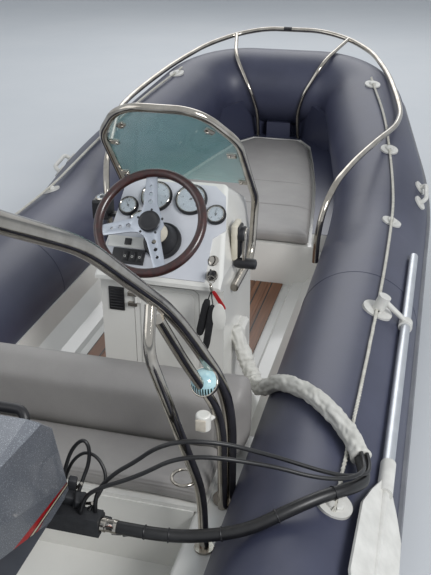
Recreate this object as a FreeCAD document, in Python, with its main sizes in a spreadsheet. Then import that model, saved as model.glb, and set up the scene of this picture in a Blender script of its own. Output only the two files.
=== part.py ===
import FreeCAD
import Part
import math
import os

from FreeCAD import Vector, Rotation, Placement

# A rigid inflatable boat of 4.2 m with a side console and one outboard.
# +Y runs to the bow, +X to starboard and +Z up. The origin lies on the centreline,
# at the waterline, in the transom's aft face. Lengths are in millimetres.

doc = FreeCAD.newDocument("InflatableBoat")
sheet = doc.addObject("Spreadsheet::Sheet", "Dims")

dimensions = [
    # hull and tubes
    ("deckLevel", 80),
    ("tubeRadius", 216),
    ("tubeHalfSpacing", 698),
    ("tubeLevel", 251),
    ("tubeAft", -60),
    ("riseStart", 2250),
    ("riseAngle", 12.5),
    ("riseRadius", 1500),
    ("flareStart", 170),
    ("flareRadius", 2500),
    ("flareAngle", 12),
    ("flareRun", 660),
    ("bowRadius", 330),
    ("coneLength", 270),
    ("coneTipRadius", 62),
    ("strakeWidth", 44),
    ("strakeDepth", 14),
    ("keelDepth", 230),
    ("keelDepthBow", 120),
    ("chineHalfWidth", 470),
    ("chineLevel", -70),
    ("hullHalfWidth", 600),
    ("transomThickness", 50),
    ("transomTop", 285),
    ("shelfLevel", 285),
    ("shelfInner", 402),
    ("linerInner", 345),
    ("linerTop", 235),
    ("plankThickness", 8),
    ("plankHalfWidth", 310),
    # lockers and cushions
    ("benchAft", 455),
    ("benchFront", 808),
    ("benchTop", 285),
    ("seatBoard", 12),
    ("seatAft", 458),
    ("seatFront", 664),
    ("seatHalfWidth", 438),
    ("seatThickness", 58),
    ("bolsterThickness", 138),
    ("bolsterHeight", 240),
    ("bolsterHalfWidth", 485),
    ("lockerAft", 2210),
    ("lockerTop", 280),
    ("bowCushionThickness", 60),
    ("bowCushionSetback", 169),
    # console
    ("consoleCentre", 150),
    ("consoleWidth", 390),
    ("consoleWall", 8),
    ("dashTilt", 44),
    ("dashAft", 949),
    ("dashLip", 41),
    ("dashBottom", 682),
    ("dashLength", 328),
    ("dashPanelThickness", 4),
    ("consoleTopLength", 180),
    ("consoleTopDrop", 100),
    ("consoleTaper", 9.5),
    ("doorWidth", 205),
    ("doorHeight", 370),
    ("doorThickness", 10),
    ("doorCentre", 165),
    ("doorBottom", 275),
    ("doorGap", 2),
    ("gaugeLarge", 98),
    ("gaugeSmall", 62),
    ("gaugeDepth", 14),
    # helm
    ("wheelRadius", 152),
    ("rimTube", 13),
    ("wheelStand", 155),
    ("hubRadius", 38),
    # rails
    ("railTube", 28),
    ("screenTube", 25),
    ("archTube", 32),
    ("braceTube", 25),
    ("screenThickness", 5),
    ("screenRake", 40),
    # fittings
    ("lineDiameter", 12),
    ("oarTube", 32),
    ("trunkDiameter", 48),
    ("bundleDiameter", 30),
    ("cableDiameter", 10),
    # outboard
    ("tiltY", -30),
    ("tiltZ", 300),
    ("steerY", -95),
    ("cowlWidth", 345),
    ("cowlAft", -400),
    ("cowlFront", 255),
    ("cowlBottom", 490),
    ("cowlTop", 765),
    ("propellerY", -330),
    ("propellerZ", -330),
    ("propellerRadius", 142),
]
for row, (alias, size) in enumerate(dimensions, start=1):
    sheet.set("A%d" % row, alias)
    sheet.set("B%d" % row, str(size))
    sheet.setAlias("B%d" % row, alias)
doc.recompute()


def dim(alias):
    return float(getattr(sheet, alias))


# The console's aft wall stands under the lip of the dash.
consoleAft = dim("dashAft") + dim("dashLip")

pieces = []


def keep(obj, name):
    obj.Label = name
    pieces.append(obj)
    return obj


def feature(name, shape):
    obj = doc.addObject("Part::Feature", name)
    obj.Shape = shape
    return keep(obj, name)


def bind(obj, **expressions):
    for prop, expression in expressions.items():
        obj.setExpression(prop, expression)
    return obj


def primitive(kind, name, at=(0, 0, 0), turn=None, **expressions):
    obj = doc.addObject(kind, name)
    bind(obj, **expressions)
    obj.Placement = Placement(Vector(*at), turn or Rotation())
    return obj


def boolean(kind, name, base, tool):
    obj = doc.addObject(kind, name)
    obj.Base = base
    obj.Tool = tool
    return obj


def fuseAll(shapes):
    whole = shapes[0]
    if len(shapes) > 1:
        whole = whole.multiFuse(shapes[1:])
    return whole.removeSplitter()


def vec(p):
    return Vector(*p)


# A route of straight runs joined by tangent arcs. radii holds one radius for each inner point.
def route(points, radii):
    points = [vec(p) for p in points]
    edges = []
    start = points[0]
    for i in range(1, len(points) - 1):
        corner = points[i]
        back = (points[i - 1] - corner).normalize()
        ahead = (points[i + 1] - corner).normalize()
        half = back.getAngle(ahead) / 2
        reach = radii[i - 1] / math.tan(half)
        first = corner + back * reach
        last = corner + ahead * reach
        bisector = (back + ahead).normalize()
        middle = corner + bisector * (radii[i - 1] / math.sin(half) - radii[i - 1])
        if (first - start).Length > 0.01:
            edges.append(Part.LineSegment(start, first).toShape())
        edges.append(Part.Arc(first, middle, last).toShape())
        start = last
    edges.append(Part.LineSegment(start, points[-1]).toShape())
    return Part.Wire(edges)


# The largest arcs that a cord's runs allow.
def cordRadii(points):
    radii = []
    points = [vec(p) for p in points]
    for i in range(1, len(points) - 1):
        back = points[i - 1] - points[i]
        ahead = points[i + 1] - points[i]
        turn = math.pi - back.getAngle(ahead)
        radii.append(0.45 * min(back.Length, ahead.Length) / math.tan(turn / 2))
    return radii


def pipe(wire, radius):
    edge = wire.OrderedEdges[0]
    start = edge.valueAt(edge.FirstParameter)
    along = edge.tangentAt(edge.FirstParameter)
    if (start - wire.OrderedVertexes[0].Point).Length > 0.01:
        start = edge.valueAt(edge.LastParameter)
        along = edge.tangentAt(edge.LastParameter) * -1
    ring = Part.Wire([Part.makeCircle(radius, start, along)])
    return wire.makePipeShell([ring], True, False)


def cord(name, points, diameter):
    radii = cordRadii(points)
    path = route(points, radii)
    tube = pipe(path, diameter / 2)
    print("%s radii %s" % (name, " ".join("%.0f" % r for r in radii)))
    section = math.pi * diameter ** 2 / 4
    print("%s length %.0f volume ratio %.4f" % (name, path.Length, tube.Volume / section / path.Length))
    return feature(name, tube)


def mirrored(shape):
    return shape.mirror(Vector(0, 0, 0), Vector(1, 0, 0))


def polygon(points):
    points = [vec(p) for p in points]
    return Part.makePolygon(points + [points[0]])


def prism(points, direction):
    return Part.Face(polygon(points)).extrude(vec(direction))


def ball(radius, centre):
    return Part.makeSphere(radius, vec(centre))


# Keeps what lies behind a plane.
def trim(shape, point, normal):
    normal = vec(normal).normalize()
    tool = Part.makeBox(3000, 3000, 1500, Vector(-1500, -1500, 0))
    tool.Placement = Placement(vec(point), Rotation(Vector(0, 0, 1), normal))
    return shape.cut(tool)


def rod(radius, a, b):
    a = vec(a)
    b = vec(b)
    return Part.makeCylinder(radius, (b - a).Length, a, b - a)


def block(x0, x1, y0, y1, z0, z1):
    return Part.makeBox(x1 - x0, y1 - y0, z1 - z0, Vector(x0, y0, z0))


def roundedBlock(x0, x1, y0, y1, z0, z1, radius, direction="z"):
    body = block(x0, x1, y0, y1, z0, z1)
    axis = {"x": Vector(1, 0, 0), "y": Vector(0, 1, 0), "z": Vector(0, 0, 1)}[direction]
    edges = [e for e in body.Edges if abs(e.tangentAt(e.FirstParameter).dot(axis)) > 0.99]
    return body.makeFillet(radius, edges)


# Tubes.
# The centreline runs straight forward, bends up, flares inwards and turns round the bow.

tubeRadius = dim("tubeRadius")
rise = math.radians(dim("riseAngle"))
flare = math.radians(dim("flareAngle"))
halfSpacing = dim("tubeHalfSpacing")
upward = Vector(0, math.cos(rise), math.sin(rise))
riseCorner = Vector(halfSpacing, dim("riseStart"), dim("tubeLevel"))


def bowPoint(x, s):
    return Vector(x, riseCorner.y, riseCorner.z) + upward * s


flareEndX = halfSpacing - dim("flareRadius") * (1 - math.cos(flare))
flareEndS = dim("flareStart") + dim("flareRadius") * math.sin(flare)
cornerX = flareEndX - dim("flareRun") * math.sin(flare)
cornerS = flareEndS + dim("flareRun") * math.cos(flare)
bowCentreX = cornerX - dim("bowRadius") * math.cos(flare)
bowCentreS = cornerS - dim("bowRadius") * math.sin(flare)
bowFrontS = bowCentreS + dim("bowRadius")


def arcPoint(cx, cs, radius, angle):
    return bowPoint(cx + radius * math.cos(angle), cs + radius * math.sin(angle))


riseReach = dim("riseRadius") * math.tan(rise / 2)
riseFirst = riseCorner - Vector(0, riseReach, 0)
riseLast = riseCorner + upward * riseReach
toCorner = (Vector(0, -1, 0) + upward).normalize()
riseMiddle = riseCorner + toCorner * (dim("riseRadius") / math.cos(rise / 2) - dim("riseRadius"))
flareCentreX = halfSpacing - dim("flareRadius")
sideEdges = [
    Part.LineSegment(Vector(halfSpacing, dim("tubeAft"), dim("tubeLevel")), riseFirst).toShape(),
    Part.Arc(riseFirst, riseMiddle, riseLast).toShape(),
    Part.LineSegment(riseLast, bowPoint(halfSpacing, dim("flareStart"))).toShape(),
    Part.Arc(
        arcPoint(flareCentreX, dim("flareStart"), dim("flareRadius"), 0),
        arcPoint(flareCentreX, dim("flareStart"), dim("flareRadius"), flare / 2),
        arcPoint(flareCentreX, dim("flareStart"), dim("flareRadius"), flare),
    ).toShape(),
    Part.LineSegment(bowPoint(flareEndX, flareEndS), bowPoint(cornerX, cornerS)).toShape(),
]
sidePath = Part.Wire(sideEdges)
middleAngle = (flare + math.pi / 2) / 2
cornerEdge = Part.Arc(
    arcPoint(bowCentreX, bowCentreS, dim("bowRadius"), flare),
    arcPoint(bowCentreX, bowCentreS, dim("bowRadius"), middleAngle),
    arcPoint(bowCentreX, bowCentreS, dim("bowRadius"), math.pi / 2),
).toShape()
frontEdge = Part.LineSegment(bowPoint(bowCentreX, bowFrontS), bowPoint(-bowCentreX, bowFrontS)).toShape()
bowPath = Part.Wire([cornerEdge, frontEdge, mirrored(cornerEdge)])

sideTube = pipe(sidePath, tubeRadius)
bowTube = pipe(bowPath, tubeRadius)
allTubes = [sideTube, mirrored(sideTube), bowTube]
feature("tube_starboard", sideTube)
feature("tube_port", mirrored(sideTube))
feature("tube_bow", bowTube)

# Stern cones: a taper that ends in a rounded cap.
coneBody = doc.addObject("PartDesign::Body", "SternConeStarboard")
coneSketch = coneBody.newObject("Sketcher::SketchObject", "ConeProfile")
coneSketch.AttachmentSupport = [(p, "") for p in coneBody.Origin.OriginFeatures if p.Role == "XY_Plane"]
coneSketch.MapMode = "FlatFace"
tipRadius = dim("coneTipRadius")
coneEnd = -dim("coneLength")
coneTaper = coneEnd + tipRadius * 0.55
coneProfile = [
    Part.LineSegment(Vector(0, 0, 0), Vector(tubeRadius, 0, 0)),
    Part.LineSegment(Vector(tubeRadius, 0, 0), Vector(tipRadius, coneTaper, 0)),
    Part.LineSegment(Vector(tipRadius, coneTaper, 0), Vector(tipRadius * 0.6, coneEnd, 0)),
    Part.LineSegment(Vector(tipRadius * 0.6, coneEnd, 0), Vector(0, coneEnd, 0)),
    Part.LineSegment(Vector(0, coneEnd, 0), Vector(0, 0, 0)),
]
coneSketch.addGeometry(coneProfile, False)
coneTurn = coneBody.newObject("PartDesign::Revolution", "ConeTurn")
coneTurn.Profile = coneSketch
coneTurn.ReferenceAxis = (coneSketch, ["V_Axis"])
coneTurn.Angle = 360
doc.recompute()
coneBody.Placement = Placement(Vector(halfSpacing, dim("tubeAft"), dim("tubeLevel")), Rotation())
keep(coneBody, "cone_starboard")
portCone = doc.addObject("Part::Mirroring", "SternConePort")
portCone.Source = coneBody
portCone.Normal = Vector(1, 0, 0)
keep(portCone, "cone_port")
doc.recompute()

# Rubbing strake: a flat rubber band glued along the outside of the tubes.
strakeHalf = dim("strakeWidth") / 2
strakeOut = tubeRadius + dim("strakeDepth")


def strake(path, start, outward, up):
    inner = math.sqrt(tubeRadius ** 2 - strakeHalf ** 2) - 0.5
    corners = [
        start + outward * inner - up * strakeHalf,
        start + outward * (strakeOut - 4) - up * strakeHalf,
        start + outward * strakeOut - up * (strakeHalf - 6),
        start + outward * strakeOut + up * (strakeHalf - 6),
        start + outward * (strakeOut - 4) + up * strakeHalf,
        start + outward * inner + up * strakeHalf,
    ]
    band = path.makePipeShell([Part.makePolygon(corners + [corners[0]])], True, False)
    return band


sideStrake = strake(sidePath, sideEdges[0].Vertexes[0].Point, Vector(1, 0, 0), Vector(0, 0, 1))
bowUp = Vector(0, -math.sin(rise), math.cos(rise))
bowOut = Vector(math.cos(flare), 0, 0) + upward * math.sin(flare)
bowStrake = strake(bowPath, bowPoint(cornerX, cornerS), bowOut, bowUp)
sideStrake = sideStrake.cut(sideTube)
bowStrake = bowStrake.cut(bowTube)
feature("rubbing_strake", Part.makeCompound([sideStrake, mirrored(sideStrake), bowStrake]))

# Hull: a moulded V bottom under the deck, closed at the transom and trimmed to the tubes.
deck = dim("deckLevel")
bowFrontY = bowPoint(0, bowFrontS).y
bowLevel = bowPoint(0, bowFrontS).z
cushionFront = bowFrontY - dim("bowCushionSetback")


def hullSection(y, keel, chineX, chineZ, sideX, sideZ, topX):
    return polygon([
        (0, y, keel), (chineX, y, chineZ), (sideX, y, sideZ), (topX, y, deck),
        (-topX, y, deck), (-sideX, y, sideZ), (-chineX, y, chineZ),
    ])


chineX = dim("chineHalfWidth")
chineZ = dim("chineLevel")
hullX = dim("hullHalfWidth")
keel = -dim("keelDepth")
foreY = bowFrontY - 359
sections = [
    hullSection(0, keel, chineX, chineZ, hullX, 40, hullX),
    hullSection(2000, keel, chineX, chineZ, hullX, 40, hullX),
    hullSection(bowFrontY - 909, keel + 25, chineX * 0.86, chineZ + 55, hullX * 0.9, 60, hullX * 0.9),
    hullSection(foreY, -dim("keelDepthBow"), chineX * 0.56, chineZ + 100, hullX * 0.6, 72, hullX * 0.6),
]
hullLoft = Part.makeLoft(sections, True, True)
forefoot = Part.makeLoft(
    [
        hullSection(foreY, -dim("keelDepthBow"), chineX * 0.56, chineZ + 100, hullX * 0.6, 72, hullX * 0.6),
        hullSection(bowFrontY - 49, 40, 60, 52, 90, 70, 90),
    ],
    True,
    True,
)
hullBody = fuseAll([hullLoft, forefoot]).cut(allTubes[0]).cut(allTubes[1])

# The keel rises under the bow tube as a stem that carries it.
stem = prism(
    [
        (-70, bowFrontY - 509, deck - 6), (-70, bowFrontY - 74, deck - 6),
        (-70, bowFrontY + 41, bowLevel - tubeRadius + 40), (-70, cushionFront + 12, bowLevel - tubeRadius + 40),
        (-70, cushionFront + 12, deck + 150), (-70, bowFrontY - 509, deck + 60),
    ],
    (140, 0, 0),
)
stem = stem.cut(allTubes[2])
hullShape = fuseAll([hullBody, stem])
hullSolids = sorted(hullShape.Solids, key=lambda s: -s.Volume)
transomBoard = prism(
    [
        (-520, 0, deck - 4), (520, 0, deck - 4), (520, 0, dim("transomTop") - 5),
        (190, 0, dim("transomTop") - 5), (165, 0, dim("transomTop")), (-165, 0, dim("transomTop")),
        (-190, 0, dim("transomTop") - 5), (-520, 0, dim("transomTop") - 5),
    ],
    (0, dim("transomThickness"), 0),
).cut(allTubes[0]).cut(allTubes[1])
feature("hull_shell", fuseAll([hullSolids[0], transomBoard]))

# Side decks: a sloped moulding from the sole up to each tube, wider as a shelf beside the bench.
shelfFront = dim("benchFront")
linerInner = dim("linerInner")
linerSide = prism(
    [
        (linerInner, shelfFront, deck), (linerInner + 12, shelfFront, deck + 14),
        (linerInner + 62, shelfFront, deck + 26), (linerInner + 112, shelfFront, deck + 78),
        (linerInner + 132, shelfFront, dim("linerTop")), (linerInner + 160, shelfFront, dim("linerTop")),
        (linerInner + 240, shelfFront, deck),
    ],
    (0, dim("lockerAft") - shelfFront, 0),
)
shelfInner = dim("shelfInner")
linerShelf = block(shelfInner, hullX, dim("transomThickness"), shelfFront, deck, dim("shelfLevel"))
linerShelf = linerShelf.makeFillet(14, [
    e for e in linerShelf.Edges
    if abs(e.CenterOfMass.x - shelfInner) < 0.1 and abs(e.CenterOfMass.z - dim("shelfLevel")) < 0.1
])
linerStarboard = fuseAll([linerSide, linerShelf]).cut(allTubes[0])
linerStarboard = sorted(linerStarboard.Solids, key=lambda s: -s.Volume)[0]
feature("side_decks", Part.makeCompound([linerStarboard, mirrored(linerStarboard)]))

# Sole: grooved planks on the deck between the bench and the bow locker.
planks = []
plankHalf = dim("plankHalfWidth")
consoleLeft = dim("consoleCentre") - dim("consoleWidth") / 2
consoleRight = dim("consoleCentre") + dim("consoleWidth") / 2
plankPanel = block(-plankHalf, plankHalf, dim("benchFront") + 6, dim("lockerAft") - 4, deck, deck + dim("plankThickness"))
grooveCount = 9
groovePitch = plankHalf * 2 / (grooveCount + 1)
grooveTools = [
    block(-plankHalf + groovePitch * (i + 1) - 2.5, -plankHalf + groovePitch * (i + 1) + 2.5,
          dim("benchFront"), dim("lockerAft"), deck + dim("plankThickness") - 2, deck + 30)
    for i in range(grooveCount)
]
tilt = math.radians(dim("dashTilt"))
consoleFront = dim("dashAft") + dim("dashLength") * math.sin(tilt) + dim("consoleTopLength")
consoleFootprint = block(consoleLeft - 2, consoleRight + 2, consoleAft - 2, consoleFront + 2, deck - 1, deck + 30)
feature("sole_planks", plankPanel.cut(Part.makeCompound(grooveTools + [consoleFootprint])))

# Bench: a box with a board and seat cushion, and a rolled bolster in front of it.
bench = primitive(
    "Part::Box", "BenchBox", at=(-shelfInner, dim("benchAft"), deck),
    Length="Dims.shelfInner * 2", Width="Dims.benchFront - Dims.benchAft", Height="Dims.benchTop - Dims.deckLevel",
)
keep(bench, "bench_box")
board = primitive(
    "Part::Box", "SeatBoard", at=(8 - dim("seatHalfWidth"), dim("benchAft") + 4, dim("benchTop")),
    Length="Dims.seatHalfWidth * 2 - 16", Width="Dims.benchFront - Dims.benchAft - 8", Height="Dims.seatBoard",
)
keep(board, "seat_board")
seatBottom = dim("benchTop") + dim("seatBoard")
seatTop = seatBottom + dim("seatThickness")
seatCushion = roundedBlock(-dim("seatHalfWidth"), dim("seatHalfWidth"), dim("seatAft"), dim("seatFront"), seatBottom, seatTop, 26)
seatCushion = seatCushion.makeFillet(14, [
    e for e in seatCushion.Edges if e.CenterOfMass.z > seatTop - 0.1 and e.Length > 5
])
feature("seat_cushion", seatCushion)
bolsterAft = dim("seatFront") + 1
bolsterTop = seatBottom + dim("bolsterHeight")
bolsterHalf = dim("bolsterHalfWidth")
bolsterDepth = dim("bolsterThickness")
bolster = block(-bolsterHalf, bolsterHalf, bolsterAft, bolsterAft + bolsterDepth, seatBottom, bolsterTop)
bolster = bolster.makeFillet(bolsterDepth * 0.42, [
    e for e in bolster.Edges if e.CenterOfMass.z > bolsterTop - 0.1 and abs(e.tangentAt(e.FirstParameter).x) > 0.9
])
bolster = bolster.cut(allTubes[0]).cut(allTubes[1])
feature("bench_bolster", bolster)

# Bow locker and cushion: their plan follows the inside of the tubes.
lockerTop = dim("lockerTop")


def bowPlan(y0, y1, z, inset):
    half = [(440, 0), (400, 0.245), (360, 0.448), (292, 0.703), (226, 0.916), (150, 1)]
    half = [(x, y0 + (y1 - y0) * part) for x, part in half]
    return [(x - inset, y, z) for x, y in half] + [(inset - x, y, z) for x, y in reversed(half)]


locker = prism(bowPlan(dim("lockerAft"), cushionFront, deck, 0), (0, 0, lockerTop - deck))
lockerWings = block(-hullX, hullX, dim("lockerAft"), bowFrontY - 909, deck, lockerTop - 30)
locker = fuseAll([locker, lockerWings]).cut(allTubes[0]).cut(allTubes[1]).cut(allTubes[2])
locker = sorted(locker.Solids, key=lambda s: -s.Volume)[0].cut(hullShape)
locker = sorted(locker.Solids, key=lambda s: -s.Volume)[0]
feature("bow_locker", locker)
cushionTop = lockerTop + dim("bowCushionThickness")
bowCushion = prism(bowPlan(dim("lockerAft") - 12, cushionFront - 10, lockerTop, 8),
                   (0, 0, dim("bowCushionThickness")))
bowCushion = bowCushion.makeFillet(16, [
    e for e in bowCushion.Edges if e.CenterOfMass.z > cushionTop - 0.1
])
bowCushion = bowCushion.cut(allTubes[0]).cut(allTubes[1]).cut(allTubes[2])
bowCushion = sorted(bowCushion.Solids, key=lambda s: -s.Volume)[0]
feature("bow_cushion", bowCushion)

# Skirt: tube fabric from the cushion's edge out to the tubes, and down under them to the hull.
skirtTop = cushionTop - 8
skirtAft = dim("lockerAft") + 30
skirtPlan = [(hullX, skirtAft), (hullX * 0.9, bowFrontY - 909), (hullX * 0.6, foreY), (90, bowFrontY - 49)]


def skirtPrism(inset, low, high):
    plan = [(x - inset, y) for x, y in skirtPlan]
    plan = plan + [(-x, y) for x, y in reversed(plan)]
    return prism([(x, y, low) for x, y in plan], (0, 0, high - low))


skirtWall = skirtPrism(0, deck, bowLevel).cut(skirtPrism(30, deck - 1, bowLevel + 1))
skirtWall = trim(skirtWall, riseCorner, bowUp)
cushionRoom = prism(bowPlan(dim("lockerAft") - 12, cushionFront - 9.7, lockerTop, 7.7), (0, 0, 200))
skirt = fuseAll([skirtPrism(0, deck, skirtTop), skirtWall])
for other in allTubes + [hullShape, locker, cushionRoom]:
    skirt = skirt.cut(other)
skirtSolids = [s for s in skirt.Solids if s.Volume > 20000]
feature("bow_skirt", Part.makeCompound(skirtSolids))

# Console: a moulded shell, open behind its door, with a sloped dash on top.
tilt = math.radians(dim("dashTilt"))
dashUp = Vector(0, math.sin(tilt), math.cos(tilt))
dashNormal = Vector(0, -math.cos(tilt), math.sin(tilt))
dashLow = Vector(0, dim("dashAft"), dim("dashBottom"))
slope = Vector(0, math.sin(tilt), math.cos(tilt))
dashHigh = dashLow + slope * dim("dashLength")
topFront = consoleFront
wall = dim("consoleWall")


def consoleProfile(x, inset):
    return [
        (x, consoleAft + inset, deck + (inset and 1)),
        (x, consoleAft + inset, dim("dashBottom") - 26 - inset * 0.3),
        (x, dashLow.y + inset, dim("dashBottom") - 12 + inset * 0.5),
        (x, dashLow.y + inset, dashLow.z - inset * 0.2),
        (x, dashHigh.y + inset * 0.3, dashHigh.z - inset),
        (x, topFront - inset, dashHigh.z - dim("consoleTopDrop") - inset),
        (x, topFront - inset, deck + (inset and 1)),
    ]


def taperedConsole(inset):
    shape = prism(consoleProfile(consoleLeft + inset, inset), (dim("consoleWidth") - 2 * inset, 0, 0))
    slope = math.radians(dim("consoleTaper"))
    for side, x in ((-1, consoleLeft + inset), (1, consoleRight - inset)):
        shape = trim(shape, (x, 0, dashLow.z + 18), (side * math.cos(slope), 0, math.sin(slope)))
    return shape


consoleOuter = taperedConsole(0)
consoleOuter = consoleOuter.makeFillet(14, [
    e for e in consoleOuter.Edges
    if (abs(e.CenterOfMass.x - consoleLeft) < 45 or abs(e.CenterOfMass.x - consoleRight) < 45)
    and e.CenterOfMass.z > dashLow.z + 30
])
consoleInner = taperedConsole(wall)
doorLeft = dim("doorCentre") - dim("doorWidth") / 2
doorRight = dim("doorCentre") + dim("doorWidth") / 2
doorBottom = dim("doorBottom")
doorTop = doorBottom + dim("doorHeight")
gap = dim("doorGap")
doorHole = roundedBlock(doorLeft - gap, doorRight + gap, consoleAft - 30, consoleAft + wall + 2,
                        doorBottom - gap, doorTop + gap, 24, "y")
feature("console_body", consoleOuter.cut(consoleInner).cut(doorHole))

# Door: a flush panel with a raised field, hung at its left edge.
door = roundedBlock(doorLeft, doorRight, consoleAft, consoleAft + dim("doorThickness"),
                    doorBottom, doorTop, 22, "y")
doorField = roundedBlock(doorLeft + 20, doorRight - 14, consoleAft - 3, consoleAft + 2,
                         doorBottom + 14, doorTop - 14, 14, "y")
hingeX = doorLeft + 7
hingeY = consoleAft - 7
knuckleRadius = 4
knuckleLength = 22
hingeLevels = (doorBottom + 40, doorTop - 62)
doorParts = [door, doorField]
frameParts = []
for z in hingeLevels:
    doorParts.append(rod(knuckleRadius, (hingeX, hingeY, z), (hingeX, hingeY, z + knuckleLength)))
    doorParts.append(block(hingeX, hingeX + 13, hingeY, consoleAft + 1, z, z + knuckleLength))
    for low, high in ((z - 12, z - 0.3), (z + knuckleLength + 0.3, z + knuckleLength + 12)):
        knuckle = rod(knuckleRadius, (hingeX, hingeY, low), (hingeX, hingeY, high))
        leaf = block(doorLeft - 18, hingeX, hingeY - knuckleRadius, hingeY, low, high)
        foot = block(doorLeft - 18, doorLeft - gap - 1, hingeY - 1, consoleAft, low, high)
        frameParts.append(fuseAll([knuckle, leaf, foot]))
feature("console_door", fuseAll(doorParts))
feature("door_hinges", Part.makeCompound(frameParts))


# Dash panel and its instruments, placed in the panel's own plane.
def onDash(x, up, out):
    return Vector(x, dashLow.y, dashLow.z) + slope * up + dashNormal * out


dashCentreUp = dim("dashLength") * 0.5
panelThickness = dim("dashPanelThickness")


def dashPrism(outline, base, height):
    wire = polygon([tuple(onDash(x, up, base)) for x, up in outline])
    return Part.Face(wire).extrude(dashNormal * height)


panel = dashPrism(
    [
        (consoleLeft + 12, 14), (consoleRight - 50, 14), (consoleRight - 50, 150), (consoleRight - 14, 180),
        (consoleRight - 34, dim("dashLength") - 40), (consoleRight - 70, dim("dashLength") - 10),
        (consoleLeft + 70, dim("dashLength") - 10), (consoleLeft + 34, dim("dashLength") - 40),
    ],
    0, panelThickness,
)
feature("dash_panel", panel)
centreX = dim("consoleCentre") + 5
gaugeTable = [
    # x, up the dash, diameter
    (centreX - 56, 265, dim("gaugeLarge")),
    (centreX + 54, 265, dim("gaugeLarge")),
    (centreX - 138, 226, dim("gaugeSmall")),
    (centreX + 138, 224, dim("gaugeSmall")),
    (centreX - 93, 183, dim("gaugeSmall")),
]
gauges = []
for x, up, diameter in gaugeTable:
    base = onDash(x, up, panelThickness)
    bezel = Part.makeCylinder(diameter / 2, dim("gaugeDepth"), base, dashNormal)
    bezel = bezel.makeChamfer(3, [e for e in bezel.Edges if len(e.Vertexes) == 1 and e.Curve.TypeId.endswith("Circle")
                                 and (e.CenterOfMass - base).dot(dashNormal) > 5])
    recess = Part.makeCylinder(diameter / 2 - 7, 4, onDash(x, up, panelThickness + dim("gaugeDepth") - 4), dashNormal)
    gauges.append(bezel.cut(recess))
feature("gauges", Part.makeCompound(gauges))

# Compass on the left shoulder of the dash.
compassX = consoleLeft - 52
compassY = dim("dashAft") + 166
compassZ = dim("dashBottom") + 118
compass = roundedBlock(compassX, compassX + 48, compassY - 30, compassY + 30, compassZ, compassZ + 62, 8, "x")
compassArm = block(compassX + 30, consoleLeft + 40, compassY - 12, compassY + 12, compassZ + 8, compassZ + 18)
compassDome = Part.makeSphere(12, Vector(compassX + 24, compassY, compassZ + 60))
compass = fuseAll([compass, compassArm, compassDome]).cut(consoleOuter)
feature("compass", sorted(compass.Solids, key=lambda s: s.CenterOfMass.x)[0])

# Switch panel with three rockers, low on the left of the dash.
switchX = centreX - 105
switchUp = 66
switchPlate = dashPrism([
    (switchX - 51, switchUp - 24), (switchX + 51, switchUp - 24), (switchX + 51, switchUp + 24), (switchX - 51, switchUp + 24),
], panelThickness, 5)
rockers = []
for x in (switchX - 8, switchX + 15, switchX + 38):
    rockers.append(dashPrism([
        (x - 8, switchUp - 13), (x + 8, switchUp - 13), (x + 8, switchUp + 13), (x - 8, switchUp + 13),
    ], panelThickness + 5, 6))
feature("switch_panel", fuseAll([switchPlate] + rockers))

# Ignition switch at the right.
ignitionBase = onDash(centreX + 160, 36, 0)
ignitionRing = Part.makeCylinder(16, 7, ignitionBase, dashNormal)
ignitionBarrel = Part.makeCylinder(9, 14, ignitionBase, dashNormal)
feature("ignition_switch", fuseAll([ignitionRing, ignitionBarrel]))

# Helm: a round bezel on the dash and a cone up to the wheel's hub.
helmX = dim("consoleCentre") - 4
helmUp = 125
helmBase = onDash(helmX, helmUp, panelThickness)
wheelCentre = onDash(helmX, helmUp, dim("wheelStand"))
bezelDisc = Part.makeCylinder(58, 14, helmBase, dashNormal)
coneHeight = dim("wheelStand") - panelThickness - 18
helmCone = Part.makeCone(44, 24, coneHeight, helmBase, dashNormal)
helmShaft = Part.makeCylinder(9, 22, helmBase + dashNormal * (coneHeight - 4), dashNormal)
feature("helm", fuseAll([bezelDisc, helmCone, helmShaft]))

# Steering wheel: wooden rim on three drilled aluminium spokes.
wheelTurn = Rotation(Vector(0, 0, 1), dashNormal)
wheelPlace = Placement(wheelCentre, wheelTurn)
rimRadius = dim("wheelRadius")
rim = Part.makeTorus(rimRadius, dim("rimTube"))
rim.Placement = wheelPlace
hub = Part.makeCylinder(dim("hubRadius"), 16, Vector(0, 0, -10))
hub = hub.cut(Part.makeCylinder(9.05, 14, Vector(0, 0, -12)))
spokes = []
for angle in (99, 196, 293):
    spoke = Part.Face(polygon([
        (10, -22, -3), (rimRadius - 4, -15, -3), (rimRadius - 4, 15, -3), (10, 22, -3),
    ])).extrude(Vector(0, 0, 5))
    holes = [Part.makeCylinder(r, 20, Vector(d, 0, -10)) for d, r in ((62, 7), (86, 6), (110, 5))]
    spoke = spoke.cut(Part.makeCompound(holes))
    spoke.rotate(Vector(0, 0, 0), Vector(0, 0, 1), angle)
    spokes.append(spoke)
spider = fuseAll([hub] + spokes)
ringBore = Part.makeTorus(rimRadius, dim("rimTube"))
spider = spider.cut(ringBore)
capDisc = Part.makeCylinder(29, 8, Vector(0, 0, 6))
spider = fuseAll([spider, capDisc])
spider.Placement = wheelPlace
feature("wheel_rim", rim)
feature("wheel_spokes", spider)

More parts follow.
